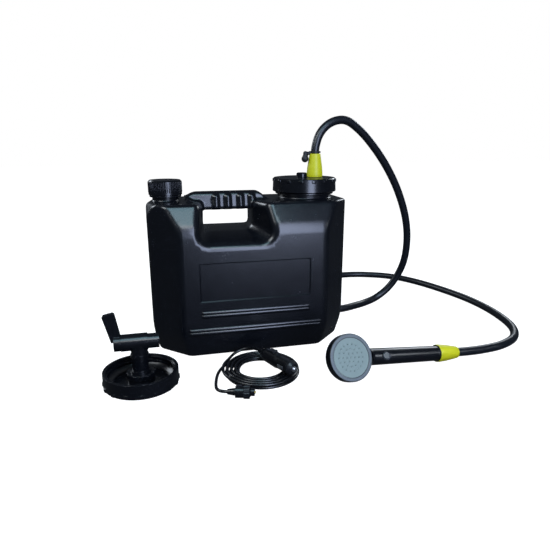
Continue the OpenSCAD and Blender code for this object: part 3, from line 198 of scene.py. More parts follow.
def smooth_path(points, steps):
    """Catmull-Rom path through the points, with so many steps between two of them."""
    p = np.array(points, float)
    last = len(p) - 1
    out = []
    for i in range(last):
        a, b, c, d = p[max(i - 1, 0)], p[i], p[i + 1], p[min(i + 2, last)]
        for t in np.arange(steps) / steps:
            out.append(0.5 * (2 * b + (c - a) * t + (2 * a - 5 * b + 4 * c - d) * t ** 2
                              + (3 * b - a - 3 * c + d) * t ** 3))
    out.append(p[last])
    return np.array(out)


def even_path(path, step):
    """The same path with its points evenly spaced."""
    along = np.concatenate([[0], np.cumsum(np.linalg.norm(np.diff(path, axis=0), axis=1))])
    places = np.linspace(0, along[-1], max(2, round(along[-1] / step) + 1))
    return np.stack([np.interp(places, along, path[:, k]) for k in range(3)], axis=1)


def tube_mesh(name, path, radius, sides):
    """A closed tube along a path; radius is a number or one for each point."""
    count = len(path)
    radii = np.broadcast_to(radius, count)
    ahead = np.gradient(path, axis=0)
    ahead /= np.linalg.norm(ahead, axis=1)[:, None]
    side = np.cross(ahead[0], (1, 0, 0) if abs(ahead[0][2]) > 0.8 else (0, 0, 1))
    points = []
    for i in range(count):
        side = side - ahead[i] * (side @ ahead[i])
        side /= np.linalg.norm(side)
        up = np.cross(ahead[i], side)
        for k in range(sides):
            turn = 2 * math.pi * k / sides
            points.append(path[i] + radii[i] * (math.cos(turn) * side + math.sin(turn) * up))
    faces = []
    for low in range(0, (count - 1) * sides, sides):
        high = low + sides
        for k in range(sides):
            near = (k + 1) % sides
            faces.append((low + k, low + near, high + near, high + k))
    faces.append(tuple(range(sides))[::-1])
    faces.append(tuple((count - 1) * sides + k for k in range(sides)))
    return mesh_of(name, points, faces, 50)


def lathe_mesh(name, profile, segments, place=Matrix.Identity(4), smooth_angle=40):
    """A closed profile of (radius, height) pairs in metres, turned about +Z and put in its place."""
    points, faces, rings = [], [], []
    for radius, height in profile:
        if radius < 1e-9:
            rings.append([len(points)] * segments)
            points.append(place @ Vector((0, 0, height)))
            continue
        rings.append([len(points) + k for k in range(segments)])
        for k in range(segments):
            turn = 2 * math.pi * k / segments
            points.append(place @ Vector((radius * math.cos(turn), radius * math.sin(turn), height)))
    closed = profile[0][0] > 1e-9
    for i in range(len(rings) if closed else len(rings) - 1):
        low, high = rings[i], rings[(i + 1) % len(rings)]
        for k in range(segments):
            near = (k + 1) % segments
            corners = [low[k], low[near], high[near], high[k]]
            face = [c for n, c in enumerate(corners) if c != corners[n - 1]]
            if len(face) > 2:
                faces.append(face)
    return mesh_of(name, points, faces, smooth_angle)


def rounded(profile, radius, steps=4):
    """A closed profile with its corners rounded by arcs of about that radius."""
    out = []
    count = len(profile)
    for i, corner in enumerate(profile):
        corner = Vector(corner)
        before = Vector(profile[i - 1]) - corner
        after = Vector(profile[(i + 1) % count]) - corner
        reach = min(radius, before.length * 0.45, after.length * 0.45)
        if reach < 1e-6 or corner.x < 1e-9:
            out.append(tuple(corner))
            continue
        start = corner + before.normalized() * reach
        end = corner + after.normalized() * reach
        for k in range(steps + 1):
            t = k / steps
            out.append(tuple((1 - t) ** 2 * start + 2 * t * (1 - t) * corner + t ** 2 * end))
    return out


def block_mesh(name, low, high, edge):
    """A box between two corners in metres, with its edges rounded."""
    corners = [(x, y, z) for x in (low[0], high[0]) for y in (low[1], high[1]) for z in (low[2], high[2])]
    faces = [(0, 1, 3, 2), (4, 6, 7, 5), (0, 4, 5, 1), (2, 3, 7, 6), (0, 2, 6, 4), (1, 5, 7, 3)]
    made = add_object(name, mesh_of(name, corners, faces))
    bevel = made.modifiers.new("Round edges", "BEVEL")
    bevel.width = edge
    bevel.segments = 3
    mesh = plain_mesh(made)
    mesh.shade_smooth()
    return mesh


def join(name, meshes):
    """One object from several meshes, each with its own material slots."""
    made = [add_object(f"{name}_{i}", m) for i, m in enumerate(meshes)]
    with bpy.context.temp_override(active_object=made[0], selected_editable_objects=made):
        bpy.ops.object.join()
    made[0].name = name
    return made[0]


# Repeats made by geometry nodes

def copies_tree():
    """Copies of a mesh, each turned about the upright axis and shifted on from the last."""
    name = "Copies in a ring or a row"
    if name in bpy.data.node_groups:
        return bpy.data.node_groups[name]
    tree = bpy.data.node_groups.new(name, "GeometryNodeTree")
    sockets = {"Geometry": "NodeSocketGeometry", "Count": "NodeSocketInt", "Turn": "NodeSocketFloat",
               "Step": "NodeSocketVector", "Material": "NodeSocketMaterial"}
    for label, kind in sockets.items():
        tree.interface.new_socket(name=label, in_out="INPUT", socket_type=kind)
    tree.interface.new_socket(name="Geometry", in_out="OUTPUT", socket_type="NodeSocketGeometry")
    nodes, links = tree.nodes, tree.links
    given, out = nodes.new("NodeGroupInput"), nodes.new("NodeGroupOutput")
    index = nodes.new("GeometryNodeInputIndex")
    shift = nodes.new("ShaderNodeVectorMath")
    shift.operation = "SCALE"
    angle = nodes.new("ShaderNodeMath")
    angle.operation = "MULTIPLY"
    turned = nodes.new("ShaderNodeCombineXYZ")
    rotation = nodes.new("FunctionNodeEulerToRotation")
    places = nodes.new("GeometryNodePoints")
    stand = nodes.new("GeometryNodeInstanceOnPoints")
    real = nodes.new("GeometryNodeRealizeInstances")
    finish = nodes.new("GeometryNodeSetMaterial")
    links.new(given.outputs["Step"], shift.inputs[0])
    links.new(index.outputs["Index"], shift.inputs["Scale"])
    links.new(index.outputs["Index"], angle.inputs[0])
    links.new(given.outputs["Turn"], angle.inputs[1])
    links.new(angle.outputs["Value"], turned.inputs["Z"])
    links.new(turned.outputs["Vector"], rotation.inputs["Euler"])
    links.new(given.outputs["Count"], places.inputs["Count"])
    links.new(shift.outputs["Vector"], places.inputs["Position"])
    links.new(places.outputs[0], stand.inputs["Points"])
    links.new(given.outputs["Geometry"], stand.inputs["Instance"])
    links.new(rotation.outputs["Rotation"], stand.inputs["Rotation"])
    links.new(stand.outputs["Instances"], real.inputs["Geometry"])
    links.new(real.outputs["Geometry"], finish.inputs["Geometry"])
    links.new(given.outputs["Material"], finish.inputs["Material"])
    links.new(finish.outputs["Geometry"], out.inputs[0])
    return tree


def copies(mesh, count, material, turn=0.0, step=(0, 0, 0)):
    """A mesh of so many copies, each turned and shifted on from the last."""
    made = add_object("copies", mesh)
    repeat = made.modifiers.new("Copies", "NODES")
    repeat.node_group = copies_tree()
    values = {"Count": count, "Turn": turn, "Step": step, "Material": material}
    for socket in repeat.node_group.interface.items_tree:
        if socket.in_out == "INPUT" and socket.name in values:
            repeat[socket.identifier] = values[socket.name]
    return plain_mesh(made)


def ring_of(mesh, count, material):
    """Copies of a mesh evenly spaced round the upright axis."""
    return copies(mesh, count, material, turn=2 * math.pi / count)


# Skins drawn from distance fields, in millimetres

def ramp(t, half_width):
    """Zero below, t above, with a smooth bend between."""
    bend = (t + half_width) ** 2 / (4 * half_width)
    return np.where(t < -half_width, 0, np.where(t > half_width, t, bend))


def smooth_max(a, b, k):
    """Larger of two fields, with the crease eased over k."""
    near = np.maximum(k - np.abs(a - b), 0) / k
    return np.maximum(a, b) + near * near * k * 0.25


def smooth_min(a, b, k):
    """Smaller of two fields, with the crease filled over k."""
    return -smooth_max(-a, -b, k)


def eased_max(a, b, radius, turn):
    """Larger of two plane fields that meet at a turn in degrees, with their edge rounded to a radius."""
    half = math.radians(turn) / 2
    return smooth_max(a, b, radius * math.tan(half) * math.sin(2 * half))


def rect_field(px, py, half_x, half_y, r):
    """Distance to a rounded rectangle."""
    qx = np.abs(px) - half_x + r
    qy = np.abs(py) - half_y + r
    return np.hypot(np.maximum(qx, 0), np.maximum(qy, 0)) + np.minimum(np.maximum(qx, qy), 0) - r


def slopes_of(field, p):
    """Gradient of a field at points."""
    nudge = 0.05
    rises = [field(*(p + step).T) - field(*(p - step).T) for step in nudge * np.eye(3)]
    return np.stack(rises, axis=1) / (2 * nudge)


def points_of(mesh):
    """The mesh's points as rows of an array."""
    p = np.empty(len(mesh.vertices) * 3)
    mesh.vertices.foreach_get("co", p)
    return p.reshape(-1, 3)


def refine(mesh, low, high):
    """Split the mesh's edges once inside a box."""
    bm = bmesh.new()
    bm.from_mesh(mesh)
    inside = {v for v in bm.verts if all(a < c < b for a, c, b in zip(low, v.co, high))}
    edges = [e for e in bm.edges if e.verts[0] in inside and e.verts[1] in inside]
    bmesh.ops.subdivide_edges(bm, edges=edges, cuts=1, use_grid_fill=True)
    bm.to_mesh(mesh)
    bm.free()


def skin_mesh(name, field, low, high, voxel, adaptivity, fine=None):
    """The field's zero surface as a mesh in millimetres, inside a box, and finer inside a second one."""
    low = np.array(low, float)
    band = 4 * voxel
    least_slope = 0.05
    axes = [np.arange(low[k], high[k] + voxel, voxel) for k in range(3)]
    values = field(axes[0][:, None, None], axes[1][None, :, None], axes[2][None, None, :])
    grid = openvdb.FloatGrid(band)
    grid.copyFromArray(np.ascontiguousarray(np.clip(values, -band, band), dtype=np.float32))
    points, triangles, quads = grid.convertToPolygons(0.0, adaptivity)
    mesh = mesh_of(name, low + voxel * np.array(points, float), triangles.tolist() + quads.tolist())
    if fine:
        refine(mesh, *fine)
    p = points_of(mesh)
    for _ in range(3):
        slope = slopes_of(field, p)
        move = field(*p.T)[:, None] * slope / np.maximum((slope ** 2).sum(axis=1), least_slope)[:, None]
        p -= np.clip(move, -voxel, voxel)
    mesh.vertices.foreach_set("co", p.ravel())
    mesh.update()
    mesh.shade_smooth()
    return mesh


def shade_by_field(mesh, field, reach=0.5):
    """Shade a mesh in millimetres by its field's slope, and flat where its faces leave the field."""
    p = points_of(mesh)
    slope = slopes_of(field, p)
    slope /= np.maximum(np.linalg.norm(slope, axis=1), 1e-6)[:, None]
    corner = np.empty(len(mesh.loops), np.int32)
    mesh.loops.foreach_get("vertex_index", corner)
    sides = np.empty(len(mesh.polygons), np.int32)
    mesh.polygons.foreach_get("loop_total", sides)
    flat = np.empty(len(mesh.polygons) * 3)
    mesh.polygons.foreach_get("normal", flat)
    off = np.abs(field(*p.T)) > reach
    cut = np.logical_or.reduceat(off[corner], np.cumsum(sides) - sides)
    flat = np.repeat(flat.reshape(-1, 3), sides, axis=0)
    normals = np.where(np.repeat(cut, sides)[:, None], flat, slope[corner])
    mesh.normals_split_custom_set(normals.tolist())


def placed(mesh, place=Matrix.Identity(4)):
    """A mesh in millimetres brought to metres and put in its place."""
    mesh.transform(place @ Matrix.Diagonal((MM, MM, MM, 1)))
    return mesh


# Material helpers

def new_group(name, inputs, outputs):
    """A shader node group with named inputs and outputs."""
    group = bpy.data.node_groups.new(name, "ShaderNodeTree")
    for label, kind, default in inputs:
        socket = group.interface.new_socket(name=label, in_out="INPUT", socket_type=kind)
        socket.default_value = default
    for label, kind in outputs:
        group.interface.new_socket(name=label, in_out="OUTPUT", socket_type=kind)
    return group, group.nodes.new("NodeGroupInput"), group.nodes.new("NodeGroupOutput")


def moulded_group():
    """Moulded skin: a fine grain, slow waves, and rubbed patches that are lighter and duller."""
    if "Moulded skin" in bpy.data.node_groups:
        return bpy.data.node_groups["Moulded skin"]
    group, given, out = new_group(
        "Moulded skin",
        [("Colour", "NodeSocketColor", (0.01, 0.01, 0.01, 1)),
         ("Rubbed", "NodeSocketColor", (0.05, 0.05, 0.05, 1)),
         ("Roughness", "NodeSocketFloat", 0.4), ("Spread", "NodeSocketFloat", 0.08),
         ("Grain scale", "NodeSocketFloat", 900.0), ("Grain depth", "NodeSocketFloat", 0.25),
         ("Wave scale", "NodeSocketFloat", 14.0), ("Wave depth", "NodeSocketFloat", 0.5)],
        [("Colour", "NodeSocketColor"), ("Roughness", "NodeSocketFloat"), ("Height", "NodeSocketFloat")])
    nodes, links = group.nodes, group.links
    where = nodes.new("ShaderNodeTexCoord")
    grain = nodes.new("ShaderNodeTexNoise")
    grain.inputs["Detail"].default_value = 3
    wave = nodes.new("ShaderNodeTexNoise")
    wave.inputs["Detail"].default_value = 1
    rub = nodes.new("ShaderNodeTexNoise")
    rub.inputs["Scale"].default_value = 45
    rub.inputs["Detail"].default_value = 8
    rub.inputs["Roughness"].default_value = 0.7
    for texture in (grain, wave, rub):
        links.new(where.outputs["Object"], texture.inputs["Vector"])
    links.new(given.outputs["Grain scale"], grain.inputs["Scale"])
    links.new(given.outputs["Wave scale"], wave.inputs["Scale"])
    worn = nodes.new("ShaderNodeMapRange")
    worn.inputs["From Min"].default_value = 0.52
    worn.inputs["From Max"].default_value = 0.80
    links.new(rub.outputs["Fac"], worn.inputs["Value"])
    mix = nodes.new("ShaderNodeMix")
    mix.data_type = "RGBA"
    links.new(worn.outputs["Result"], mix.inputs["Factor"])
    links.new(given.outputs["Colour"], mix.inputs["A"])
    links.new(given.outputs["Rubbed"], mix.inputs["B"])
    links.new(mix.outputs["Result"], out.inputs["Colour"])
    spread = nodes.new("ShaderNodeMath")
    spread.operation = "MULTIPLY_ADD"
    links.new(rub.outputs["Fac"], spread.inputs[0])
    links.new(given.outputs["Spread"], spread.inputs[1])
    links.new(given.outputs["Roughness"], spread.inputs[2])
    links.new(spread.outputs["Value"], out.inputs["Roughness"])
    fine = nodes.new("ShaderNodeMath")
    fine.operation = "MULTIPLY"
    links.new(grain.outputs["Fac"], fine.inputs[0])
    links.new(given.outputs["Grain depth"], fine.inputs[1])
    broad = nodes.new("ShaderNodeMath")
    broad.operation = "MULTIPLY_ADD"
    links.new(wave.outputs["Fac"], broad.inputs[0])
    links.new(given.outputs["Wave depth"], broad.inputs[1])
    links.new(fine.outputs["Value"], broad.inputs[2])
    links.new(broad.outputs["Value"], out.inputs["Height"])
    return group


def moulded(name, colour, rubbed, roughness, grain_scale=900, grain_depth=0.25, wave_depth=0.5, bump=0.06,
            metallic=0.0):
    """A material on the moulded skin group."""
    made = bpy.data.materials.new(name)
    made.use_nodes = True
    nodes, links = made.node_tree.nodes, made.node_tree.links
    shader = nodes["Principled BSDF"]
    skin = nodes.new("ShaderNodeGroup")
    skin.node_tree = moulded_group()
    values = {"Colour": (*colour, 1), "Rubbed": (*rubbed, 1), "Roughness": roughness,
              "Grain scale": grain_scale, "Grain depth": grain_depth, "Wave depth": wave_depth}
    for label, value in values.items():
        skin.inputs[label].default_value = value
    relief = nodes.new("ShaderNodeBump")
    relief.inputs["Strength"].default_value = bump
    relief.inputs["Distance"].default_value = 0.002
    links.new(skin.outputs["Colour"], shader.inputs["Base Color"])
    links.new(skin.outputs["Roughness"], shader.inputs["Roughness"])
    links.new(skin.outputs["Height"], relief.inputs["Height"])
    links.new(relief.outputs["Normal"], shader.inputs["Normal"])
    shader.inputs["Metallic"].default_value = metallic
    made.diffuse_color = (*colour, 1)
    return made


def lighter(colour, by):
    """A colour lifted evenly."""
    return tuple(min(1, c * by + 0.001) for c in colour)


MATERIALS = {}


def make_materials(colours):
    can, cap, lime, rubber, hose = (tuple(colours[k]) for k in ("can", "cap", "lime", "rubber", "hose"))
    face, bezel, milky = (tuple(colours[k]) for k in ("face", "bezel", "milky"))
    brass, steel, copper, magnet = (tuple(colours[k]) for k in ("brass", "steel", "copper", "magnet"))
    # Grain of glossy and satin mouldings, of rubber sleeves and of the can; other skins keep the default
    glossy = {"grain_scale": 1300, "grain_depth": 0.2, "wave_depth": 0.1, "bump": 0.03}
    satin = {**glossy, "grain_scale": 1200}
    sleeve = {**glossy, "grain_scale": 1500, "wave_depth": 0.2}
    blown = {"grain_scale": 1100, "grain_depth": 0.22, "wave_depth": 0.4, "bump": 0.03}
    metal = {"metallic": 1.0}
    # Each finish has its colour, the colour where it is rubbed, its roughness and its grain
    finishes = {
        "can_plastic": (can, lighter(can, 1.5), 0.22, blown),
        "cap_plastic": (cap, lighter(cap, 1.6), 0.20, glossy),
        "plate_plastic": (lighter(cap, 1.2), lighter(cap, 2), 0.32, {**glossy, "bump": 0.04}),
        "lime_plastic": (lime, lighter(lime, 1.1), 0.42, satin),
        "clear_plastic": (milky, lighter(milky, 1.1), 0.40, {}),
        "pump_plastic": (cap, lighter(cap, 1.6), 0.38, {}),
        "handset_plastic": (cap, lighter(cap, 1.5), 0.25, {**glossy, "grain_depth": 0.15}),
        "spray_face": (face, lighter(face, 1.1), 0.45, satin),
        "nozzle_rubber": (lighter(face, 0.92), face, 0.50, satin),
        "button_plastic": (lighter(bezel, 0.4), lighter(bezel, 0.6), 0.30, satin),
        "bezel_plastic": (bezel, lighter(bezel, 1.2), 0.38, satin),
        "seal_rubber": (rubber, lighter(rubber, 1.8), 0.55, {}),
        "gasket_rubber": (rubber, lighter(rubber, 1.8), 0.25, glossy),
        "hose_rubber": (hose, lighter(hose, 1.3), 0.32, sleeve),
        "lead_rubber": (rubber, lighter(rubber, 1.8), 0.24, sleeve),
        "plug_plastic": (rubber, lighter(rubber, 1.8), 0.22, glossy),
        "brass": (brass, lighter(brass, 1.1), 0.28, metal),
        "steel": (steel, lighter(steel, 1.1), 0.30, metal),
        "rotor_metal": (copper, (0.6, 0.34, 0.2), 0.40, metal),
        "magnet": (magnet, (0.08, 0.08, 0.08), 0.55, {}),
    }
    for name, (colour, rubbed, roughness, grain) in finishes.items():
        MATERIALS[name] = moulded(name, colour, rubbed, roughness, **grain)


def softening_tree():
    """Geometry nodes that weld a solid's loose triangles and smooth its round faces."""
    name = "Weld and smooth"
    if name in bpy.data.node_groups:
        return bpy.data.node_groups[name]
    tree = bpy.data.node_groups.new(name, "GeometryNodeTree")
    tree.interface.new_socket(name="Geometry", in_out="INPUT", socket_type="NodeSocketGeometry")
    tree.interface.new_socket(name="Geometry", in_out="OUTPUT", socket_type="NodeSocketGeometry")
    nodes, links = tree.nodes, tree.links
    given, out = nodes.new("NodeGroupInput"), nodes.new("NodeGroupOutput")
    weld = nodes.new("GeometryNodeMergeByDistance")
    weld.inputs["Distance"].default_value = 2e-6
    drop = nodes.new("GeometryNodeRemoveAttribute")
    drop.inputs["Name"].default_value = "custom_normal"
    smooth_faces = nodes.new("GeometryNodeSetShadeSmooth")
    smooth_faces.domain = "FACE"
    bend = nodes.new("GeometryNodeInputMeshEdgeAngle")
    gentle = nodes.new("FunctionNodeCompare")
    gentle.operation = "LESS_THAN"
    gentle.inputs["B"].default_value = math.radians(32)
    smooth_edges = nodes.new("GeometryNodeSetShadeSmooth")
    smooth_edges.domain = "EDGE"
    links.new(given.outputs[0], drop.inputs["Geometry"])
    links.new(drop.outputs["Geometry"], weld.inputs["Geometry"])
    links.new(weld.outputs["Geometry"], smooth_faces.inputs["Geometry"])
    links.new(smooth_faces.outputs["Geometry"], smooth_edges.inputs["Geometry"])
    links.new(bend.outputs["Unsigned Angle"], gentle.inputs["A"])
    links.new(gentle.outputs["Result"], smooth_edges.inputs["Shade Smooth"])
    links.new(smooth_edges.outputs["Geometry"], out.inputs[0])
    return tree


def finish_node(name, material, edge=0.0004):
    """Give a solid of the frame its finish, with its edges eased."""
    solid = NODES[name]
    solid.data.materials.clear()
    solid.data.materials.append(MATERIALS[material])
    weld = solid.modifiers.new("Weld and smooth", "NODES")
    weld.node_group = softening_tree()
    if edge:
        bevel = solid.modifiers.new("Eased edges", "BEVEL")
        bevel.width = edge
        bevel.segments = 2
        bevel.limit_method = "ANGLE"
        bevel.angle_limit = math.radians(40)
        bevel.harden_normals = True


def press_spring(name):
    """Give the spring its own copy of its mesh."""
    spring = NODES[name]
    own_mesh(spring)


CAP_CENTRE = Vector((-0.1305, 0, 0))
LID_CENTRE = Vector((0.101, 0, 0))
PLATE_TOP = 0.275
OUTLET = Vector((0.122, 0.008, PLATE_TOP))
HEAD_LEAN = math.radians(27)
HEAD_TURN = Euler((-HEAD_LEAN, math.radians(6.3), math.radians(6.4)))
HEAD_RADIUS = 0.0345
RIM_BACK = 0.007
HEAD_PLACE = Vector((0.108, -0.205, HEAD_RADIUS * math.cos(HEAD_LEAN) + RIM_BACK * math.sin(HEAD_LEAN)))
HANDSET = Matrix.Translation(HEAD_PLACE) @ HEAD_TURN.to_matrix().to_4x4()
GRIP_LENGTH = 0.157
GRIP_OFFSET = 0.003
HOSE_START = 0.020
NUT_LENGTH = 0.039
UP_TO_ALONG = Matrix.Rotation(math.radians(90), 4, "Y")
GRIP_END = HANDSET @ Matrix.Translation((GRIP_LENGTH, GRIP_OFFSET, 0)) @ UP_TO_ALONG
CONNECTOR = Matrix.Translation((-0.070, -0.2155, 0.0093)) @ Matrix.Rotation(math.radians(-16), 4, "Z")
PLUG = Matrix.Translation((0.0005, -0.133, 0.0215)) @ Matrix.Rotation(math.radians(-66), 4, "Z")
COIL_CENTRE = (-0.009, -0.151)
COIL_STRETCH = (1.04, 1.06)
COIL_START = math.radians(140)


def metres(route):
    """A route given in millimetres."""
    return [tuple(MM * c for c in point) for point in route]


def replace_nodes(piece, body, slot, *nodes):
    """The piece rides on a body and stands for these solids."""
    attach(piece, body)
    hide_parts(*nodes)


class SHOWER_OT_stage(bpy.types.Operator):
    """Set up the camera, the floor and the lights"""

    bl_idname = "shower.stage"
    bl_label = "Stage"

    def execute(self, context):
        view = context.scene.shower_view
        camera = bpy.data.objects.new("camera", bpy.data.cameras.new("camera"))
        context.scene.collection.objects.link(camera)
        camera.location = view.place
        camera.rotation_euler = (math.pi / 2 - view.pitch, 0, -view.yaw)
        camera.data.lens = view.lens
        camera.data.sensor_width = 36
        context.scene.camera = camera
        context.scene.view_settings.view_transform = "Standard"
        self.add_floor()
        self.add_world(context.scene)
        self.add_lights()
        return {"FINISHED"}

    def add_lights(self):
        kit, ahead, grip, tap = (0, 0, 0.15), (0.10, 0, 0.57), (0.22, -0.19, 0.03), (-0.18, -0.15, 0.06)
        pale, cool = (0.90, 0.95, 1.0), (0.85, 0.92, 1.0)
        violet, teal = (0.62, 0.72, 1.0), (0.50, 0.84, 1.0)
        narrow = math.radians(20)
        # Name, place, aim, width and height, watts and colour
        lights = [
            ("key", (-0.9, -0.55, 1.15), kit, (0.6, 0.6), 10, (0.90, 0.96, 1.0)),
            ("front", (0.30, -1.25, 0.57), ahead, (0.5, 1.12), 18, violet),
            ("over", (-0.10, -0.72, 1.15), kit, (0.65, 0.40), 5.3, teal),
            ("right", (1.2, -0.35, 0.75), kit, (0.4, 0.6), 4, pale),
            ("grip", (0.95, -0.98, 0.53), grip, (0.3, 0.3), 0.07, cool),
            ("tap", (-0.12, -1.0, 0.85), tap, (0.5, 0.4), 0.12, pale),
            ("back_left", (-0.95, 0.95, 0.80), kit, (0.5, 0.5), 6, cool),
            ("back_right", (1.15, 0.80, 0.80), kit, (0.5, 0.5), 6, cool),
        ]
        for light in lights:
            self.add_light(*light)
        bpy.data.objects["right"].visible_glossy = False
        for name in ("grip", "tap"):
            bpy.data.lights[name].spread = narrow

    @staticmethod
    def add_light(name, place, aim, breadth, watts, colour):
        lamp = bpy.data.lights.new(name, "AREA")
        lamp.shape = "RECTANGLE"
        lamp.size, lamp.size_y = breadth
        lamp.energy = watts
        lamp.color = colour
        lit = bpy.data.objects.new(name, lamp)
        bpy.context.scene.collection.objects.link(lit)
        lit.location = place
        lit.rotation_euler = (Vector(aim) - Vector(place)).to_track_quat("-Z", "Y").to_euler()

    @staticmethod
    def add_floor():
        half = 6
        corners = [(-half, -half, 0), (half, -half, 0), (half, half, 0), (-half, half, 0)]
        floor = add_object("floor", mesh_of("floor", corners, [(0, 1, 2, 3)]))
        floor.location.z = -0.0002
        pale = bpy.data.materials.new("pale_floor")
        pale.use_nodes = True
        shader = pale.node_tree.nodes["Principled BSDF"]
        shader.inputs["Base Color"].default_value = (0.35, 0.35, 0.35, 1)
        shader.inputs["Roughness"].default_value = 0.9
        shader.inputs["Specular IOR Level"].default_value = 0
        shader.inputs["Emission Color"].default_value = (1, 1, 1, 1)
        shader.inputs["Emission Strength"].default_value = 1.0
        floor.data.materials.append(pale)
        floor.visible_glossy = False
        floor.visible_diffuse = False

    @staticmethod
    def add_world(scene):
        world = bpy.data.worlds.new("studio")
        scene.world = world
        world.use_nodes = True
        nodes, links = world.node_tree.nodes, world.node_tree.links
        seen = nodes["Background"]
        seen.inputs["Color"].default_value = (1, 1, 1, 1)
        soft = nodes.new("ShaderNodeBackground")
        soft.inputs["Color"].default_value = (0.75, 0.85, 1.0, 1)
        soft.inputs["Strength"].default_value = 0.06
        ray = nodes.new("ShaderNodeLightPath")
        mix = nodes.new("ShaderNodeMixShader")
        links.new(ray.outputs["Is Camera Ray"], mix.inputs["Fac"])
        links.new(soft.outputs["Background"], mix.inputs[1])
        links.new(seen.outputs["Background"], mix.inputs[2])
        links.new(mix.outputs["Shader"], nodes["World Output"].inputs["Surface"])


class SHOWER_OT_cords(bpy.types.Operator):
    """Lay the hose and the lead along their routes"""

    bl_idname = "shower.cords"
    bl_label = "Hose and lead"

    def execute(self, context):
        sizes = context.scene.shower_cords
        self.lay_hose(sizes)
        self.lay_lead(sizes)
        return {"FINISHED"}

    @staticmethod
    def lay_hose(sizes):
        clear_of_nut = NUT_LENGTH + 0.003
        starts = [tuple(OUTLET + Vector((0, 0, s))) for s in (HOSE_START, clear_of_nut)]
        ends = [tuple(GRIP_END @ Vector((0, 0, s))) for s in (clear_of_nut, HOSE_START)]
        steps, spacing, sides = 16, 0.004, 28
        path = even_path(smooth_path(starts + metres(HOSE_ROUTE) + ends, steps), spacing)
        tube = tube_mesh("hose", path, sizes.hose_radius, sides)
        hose = add_object("hose", tube, MATERIALS["hose_rubber"])
        replace_nodes(hose, STILL_BODY, "hose_rubber", "shower_hose")

    @staticmethod
    def coil_path(sizes):
        """The lead's coil, from its upper layer inwards, down a layer, and outwards again."""
        loops, step, inner = sizes.coil_loops, sizes.coil_step, sizes.coil_inner
        # Points in a loop, and the share of a loop before and after the middle in which the lead drops
        points, quarter = 72, 0.25
        outer = inner + step * (loops - quarter)
        path = []
        for u in np.linspace(0, 2 * loops, 2 * loops * points + 1):
            radius = min(inner + step * max(loops - quarter - u, u - loops - quarter, 0), outer)
            drop = min(max((u - loops + quarter) / (2 * quarter), 0), 1)
            drop = drop * drop * (3 - 2 * drop)
            turn = COIL_START + 2 * math.pi * u
            path.append((COIL_CENTRE[0] + COIL_STRETCH[0] * radius * math.cos(turn),
                         COIL_CENTRE[1] + COIL_STRETCH[1] * radius * math.sin(turn),
                         LEAD_FLOOR * MM + sizes.coil_layer * (1 - drop)))
        return path

    def lay_lead(self, sizes):
        coil = self.coil_path(sizes)
        in_connector, in_plug = (0.004, -0.001), (-0.016, -0.008)
        steps, spacing, sides = 10, 0.0024, 12
        tail_ends = [tuple(CONNECTOR @ Vector((s, 0, 0))) for s in in_connector]
        plug_ends = [tuple(PLUG @ Vector((s, 0, 0))) for s in in_plug]
        lead_in = tuple(2 * np.array(coil[0]) - np.array(coil[3]))
        tail = smooth_path(tail_ends + metres(LEAD_TAIL) + [coil[-1]], steps)
        run = smooth_path([coil[0], lead_in] + metres(LEAD_PLUG_RUN) + plug_ends, steps)
        whole = np.concatenate([tail[:-1], np.array(coil[::-1]), run[1:]])
        path = even_path(whole, spacing)
        tube = tube_mesh("lead", path, sizes.lead_radius, sides)
        lead = add_object("lead", tube, MATERIALS["lead_rubber"])
        replace_nodes(lead, STILL_BODY, "lead_rubber", "lead_coil", "lead_tail", "lead_plug_run")


